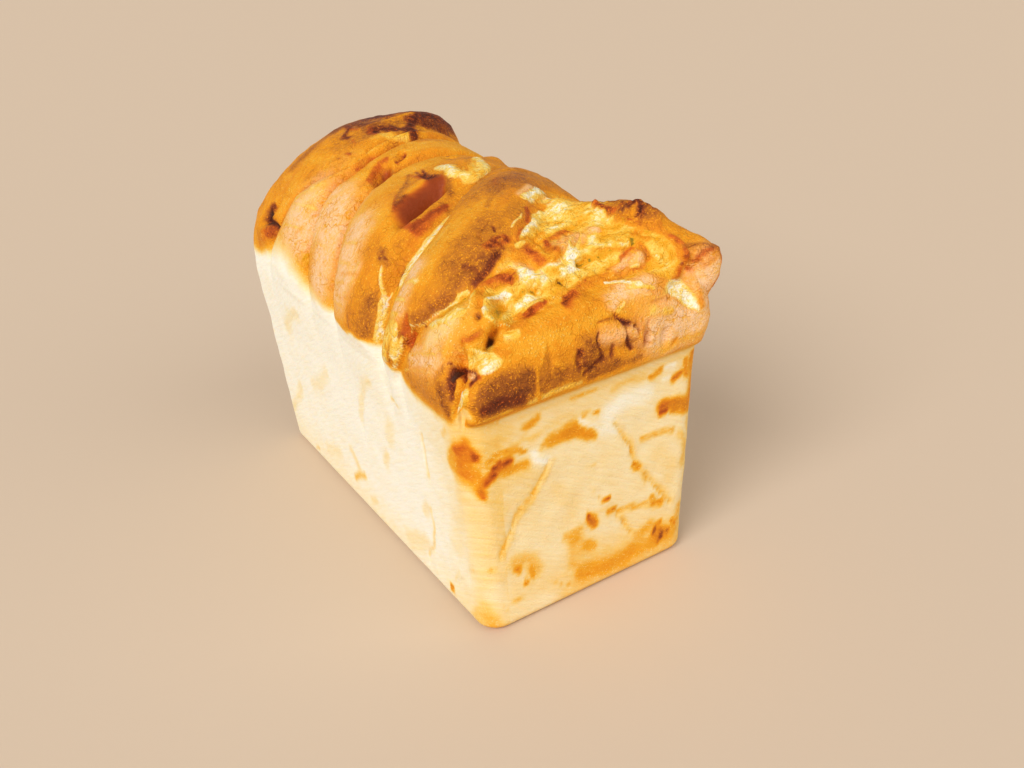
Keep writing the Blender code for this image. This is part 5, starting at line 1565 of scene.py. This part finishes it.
def crust_finish():
    """The one finish of the loaf, steered by the values stored on its vertices."""
    material = bpy.data.materials.new("crust")
    material.use_nodes = True
    tree = material.node_tree
    shader = tree.nodes["Principled BSDF"]
    kit = Value(tree)
    where = kit.node("ShaderNodeTexCoord", out="Object")

    def stored(name):
        return kit.node("ShaderNodeAttribute", {"attribute_name": name}, out="Fac")

    def grain(scale, detail=3.0):
        return kit.node(
            "ShaderNodeTexNoise", None, {"Vector": where, "Scale": scale, "Detail": detail, "Roughness": 0.6}
        ) - 0.5

    def reach(direction):
        return kit.node("ShaderNodeVectorMath", {"operation": "DOT_PRODUCT"}, {0: where, 1: direction}, out=1)

    browned_here = stored("browned")
    patchy = grain(90.0)
    mottle = grain(330.0)
    speckle = grain(1300.0, 2.0)
    cells = kit.node("ShaderNodeTexVoronoi", {"feature": "F1"}, {"Vector": where, "Scale": 800.0})
    dots = 1.0 - cells.between(0.1, 0.42)
    wavy = kit.node("ShaderNodeTexNoise", None, {"Vector": where, "Scale": 160.0, "Detail": 2.0}, out="Color")
    bent = kit.node(
        "ShaderNodeVectorMath", {"operation": "MULTIPLY_ADD"}, {0: wavy, 1: (0.008, 0.008, 0.008), 2: where}
    )
    edges = kit.node("ShaderNodeTexVoronoi", {"feature": "DISTANCE_TO_EDGE"}, {"Vector": bent, "Scale": 250.0})
    cracks = (1.0 - edges.between(0.0, 0.09)) * patchy.between(-0.04, 0.10) * browned_here
    # Streaks of the pale walls, drawn out along a slant.
    drawn = kit.node("ShaderNodeCombineXYZ", None, {0: reach((90.0, 90.0, -60.0)), 1: reach((300.0, 300.0, 520.0))})
    streaks = kit.node("ShaderNodeTexNoise", None, {"Vector": drawn, "Scale": 1.0, "Detail": 3.0}) - 0.5
    streaks = streaks * (1.0 - browned_here)
    # Threads of cheese and torn dough.
    stretched = kit.node("ShaderNodeVectorMath", {"operation": "MULTIPLY"}, {0: bent, 1: (230.0, 640.0, 420.0)})
    threads = kit.node("ShaderNodeTexNoise", None, {"Vector": stretched, "Scale": 1.0, "Detail": 3.0}) - 0.5
    specks = speckle.between(0.06, 0.2)

    # How far each grain is baked.
    baked = stored("bake")
    torn = stored("torn")
    uneven = 1.0 - stored("even")
    lively = (browned_here * 0.75 + 0.25 + (1.0 - browned_here) * baked.between(0.15, 0.35) * 0.9) * uneven
    noisy = patchy * 0.16 + mottle * (baked * 0.26 + 0.02) + threads * baked * (torn * 0.7 + 0.22)
    noisy = noisy + (0.12 - specks * 0.34) * baked
    level = baked + noisy * lively + (cracks * 0.06 - dots * 0.08) * browned_here * uneven
    level = (level + streaks * 0.11).clipped()

    # Its colour, and the tints laid over it.
    colour = level.node("ShaderNodeValToRGB", {"stops": BAKING_STOPS}, {"Fac": level})
    red_colour = level.node("ShaderNodeValToRGB", {"stops": RED_STOPS}, {"Fac": level})
    curd = stored("curd")
    cheese_level = (curd + (threads * 1.7 + mottle * 0.9 + speckle * 0.6) * (1.15 - curd)).clipped()
    cheese_colour = level.node("ShaderNodeValToRGB", {"stops": CHEESE_STOPS}, {"Fac": cheese_level})
    # Peach where the crust is pale and thin, and as a painted highlight on the slopes that face the light.
    peach_and_highlight_here = stored("peach") * (0.76 + mottle * 1.2 + threads * 2.0 + speckle * 1.6 - cracks * 0.5)
    fried = stored("red") * (1.0 + (mottle + speckle) * 0.8) + torn * threads.between(0.08, 0.22) * 0.45
    red_here = fried.between(0.1, 0.9) * 0.9
    cheese_here = (stored("cheese") + threads * 0.9 + mottle * 0.5 + speckle * 0.3).between(0.3, 0.7)
    # Near black of char specks, and the painted shade inside holes.
    char_and_shade_here = (stored("burnt") + speckle * 0.4 * uneven).between(0.15, 0.95) * 0.92
    colour = mixed(peach_and_highlight_here.clipped(), colour, PEACH_AND_HIGHLIGHT_COLOUR)
    colour = mixed(red_here, colour, red_colour)
    colour = mixed(cheese_here, colour, cheese_colour)
    colour = mixed(char_and_shade_here, colour, CHAR_AND_SHADE_COLOUR)
    tree.links.new(colour.socket, shader.inputs["Base Color"])

    # Gloss and bump.
    shine = 0.72 - baked.between(0.2, 0.75) * 0.26 - cheese_here * 0.20 + stored("rough") * 0.14 + speckle * 0.3
    tree.links.new(shine.clipped().socket, shader.inputs["Roughness"])
    grainy = (browned_here * 0.75 + 0.25) * uneven
    height = (speckle * 0.9 + mottle * 0.8 + dots * 0.4 - cracks * 0.5) * grainy + stored("rough") * mottle * 1.4
    height = height + streaks * 0.6 + threads * (cheese_here * 1.6 + 0.5) * browned_here
    bumped = kit.node("ShaderNodeBump", None, {"Height": height, **BUMP})
    tree.links.new(bumped.socket, shader.inputs["Normal"])
    for name, setting in SOFTNESS.items():
        shader.inputs[name].default_value = setting
    return material


bread.data.materials.append(crust_finish())
print("nodes in the crust:", len(bread.data.materials[0].node_tree.nodes))

# %% [markdown]
# ## Place in the model
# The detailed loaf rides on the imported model's only body and stands for its node. Smooth shading by angle keeps the
# foot crisp, and the mesh already holds its place, so its object stays at the origin.

# %% Finish the piece
SHARP_ANGLE = 70

bpy.ops.object.select_all(action="DESELECT")
bread.select_set(True)
bpy.context.view_layer.objects.active = bread
bpy.ops.object.shade_smooth_by_angle(angle=math.radians(SHARP_ANGLE))
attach(bread, "root")
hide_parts("loaf")
print("object at", list(bread.location))

# %% [markdown]
# ## Floor and light
# A wide plain floor the colour of unbleached paper fills the picture behind the loaf. Two broad suns and a white sky
# act like large softboxes: the stronger one from the upper left lights the long wall, the other fills the front end.
# Suns light the whole floor evenly, so the background stays plain.

# %% Floor, lights and sky
FLOOR_COLOUR = (0.675, 0.53, 0.395, 1.0)
FLOOR_SIZE = 24
SKY_COLOUR = (1.0, 0.97, 0.93, 1.0)
SKY_STRENGTH = 0.45
SUNS = (
    # name, side it shines from, strength, breadth in degrees
    ("key", (-0.72, -0.34, 0.62), 2.2, 34),
    ("fill", (0.32, -0.80, 0.52), 0.88, 60),
)


def floor():
    """A plain floor under the loaf."""
    bpy.ops.mesh.primitive_plane_add(size=FLOOR_SIZE)
    ground = bpy.context.object
    ground.name = "floor"
    paper = bpy.data.materials.new("paper")
    paper.use_nodes = True
    sockets = paper.node_tree.nodes["Principled BSDF"].inputs
    sockets["Base Color"].default_value = FLOOR_COLOUR
    sockets["Roughness"].default_value = 1.0
    sockets["Specular IOR Level"].default_value = 0.0
    ground.data.materials.append(paper)


def sun(name, source, strength, angle):
    """A broad sun that shines from the side named by a direction."""
    bpy.ops.object.light_add(type="SUN")
    lamp = bpy.context.object
    lamp.name = name
    lamp.rotation_euler = Vector(source).to_track_quat("Z", "Y").to_euler()
    lamp.data.energy = strength
    lamp.data.angle = math.radians(angle)


floor()
for name, source, strength, angle in SUNS:
    sun(name, source, strength, angle)
sky = bpy.data.worlds.new("sky")
sky.use_nodes = True
sky.node_tree.nodes["Background"].inputs["Color"].default_value = SKY_COLOUR
sky.node_tree.nodes["Background"].inputs["Strength"].default_value = SKY_STRENGTH
bpy.context.scene.world = sky
bpy.context.scene.view_settings.view_transform = "Standard"
print(len(SUNS), "suns and a sky")
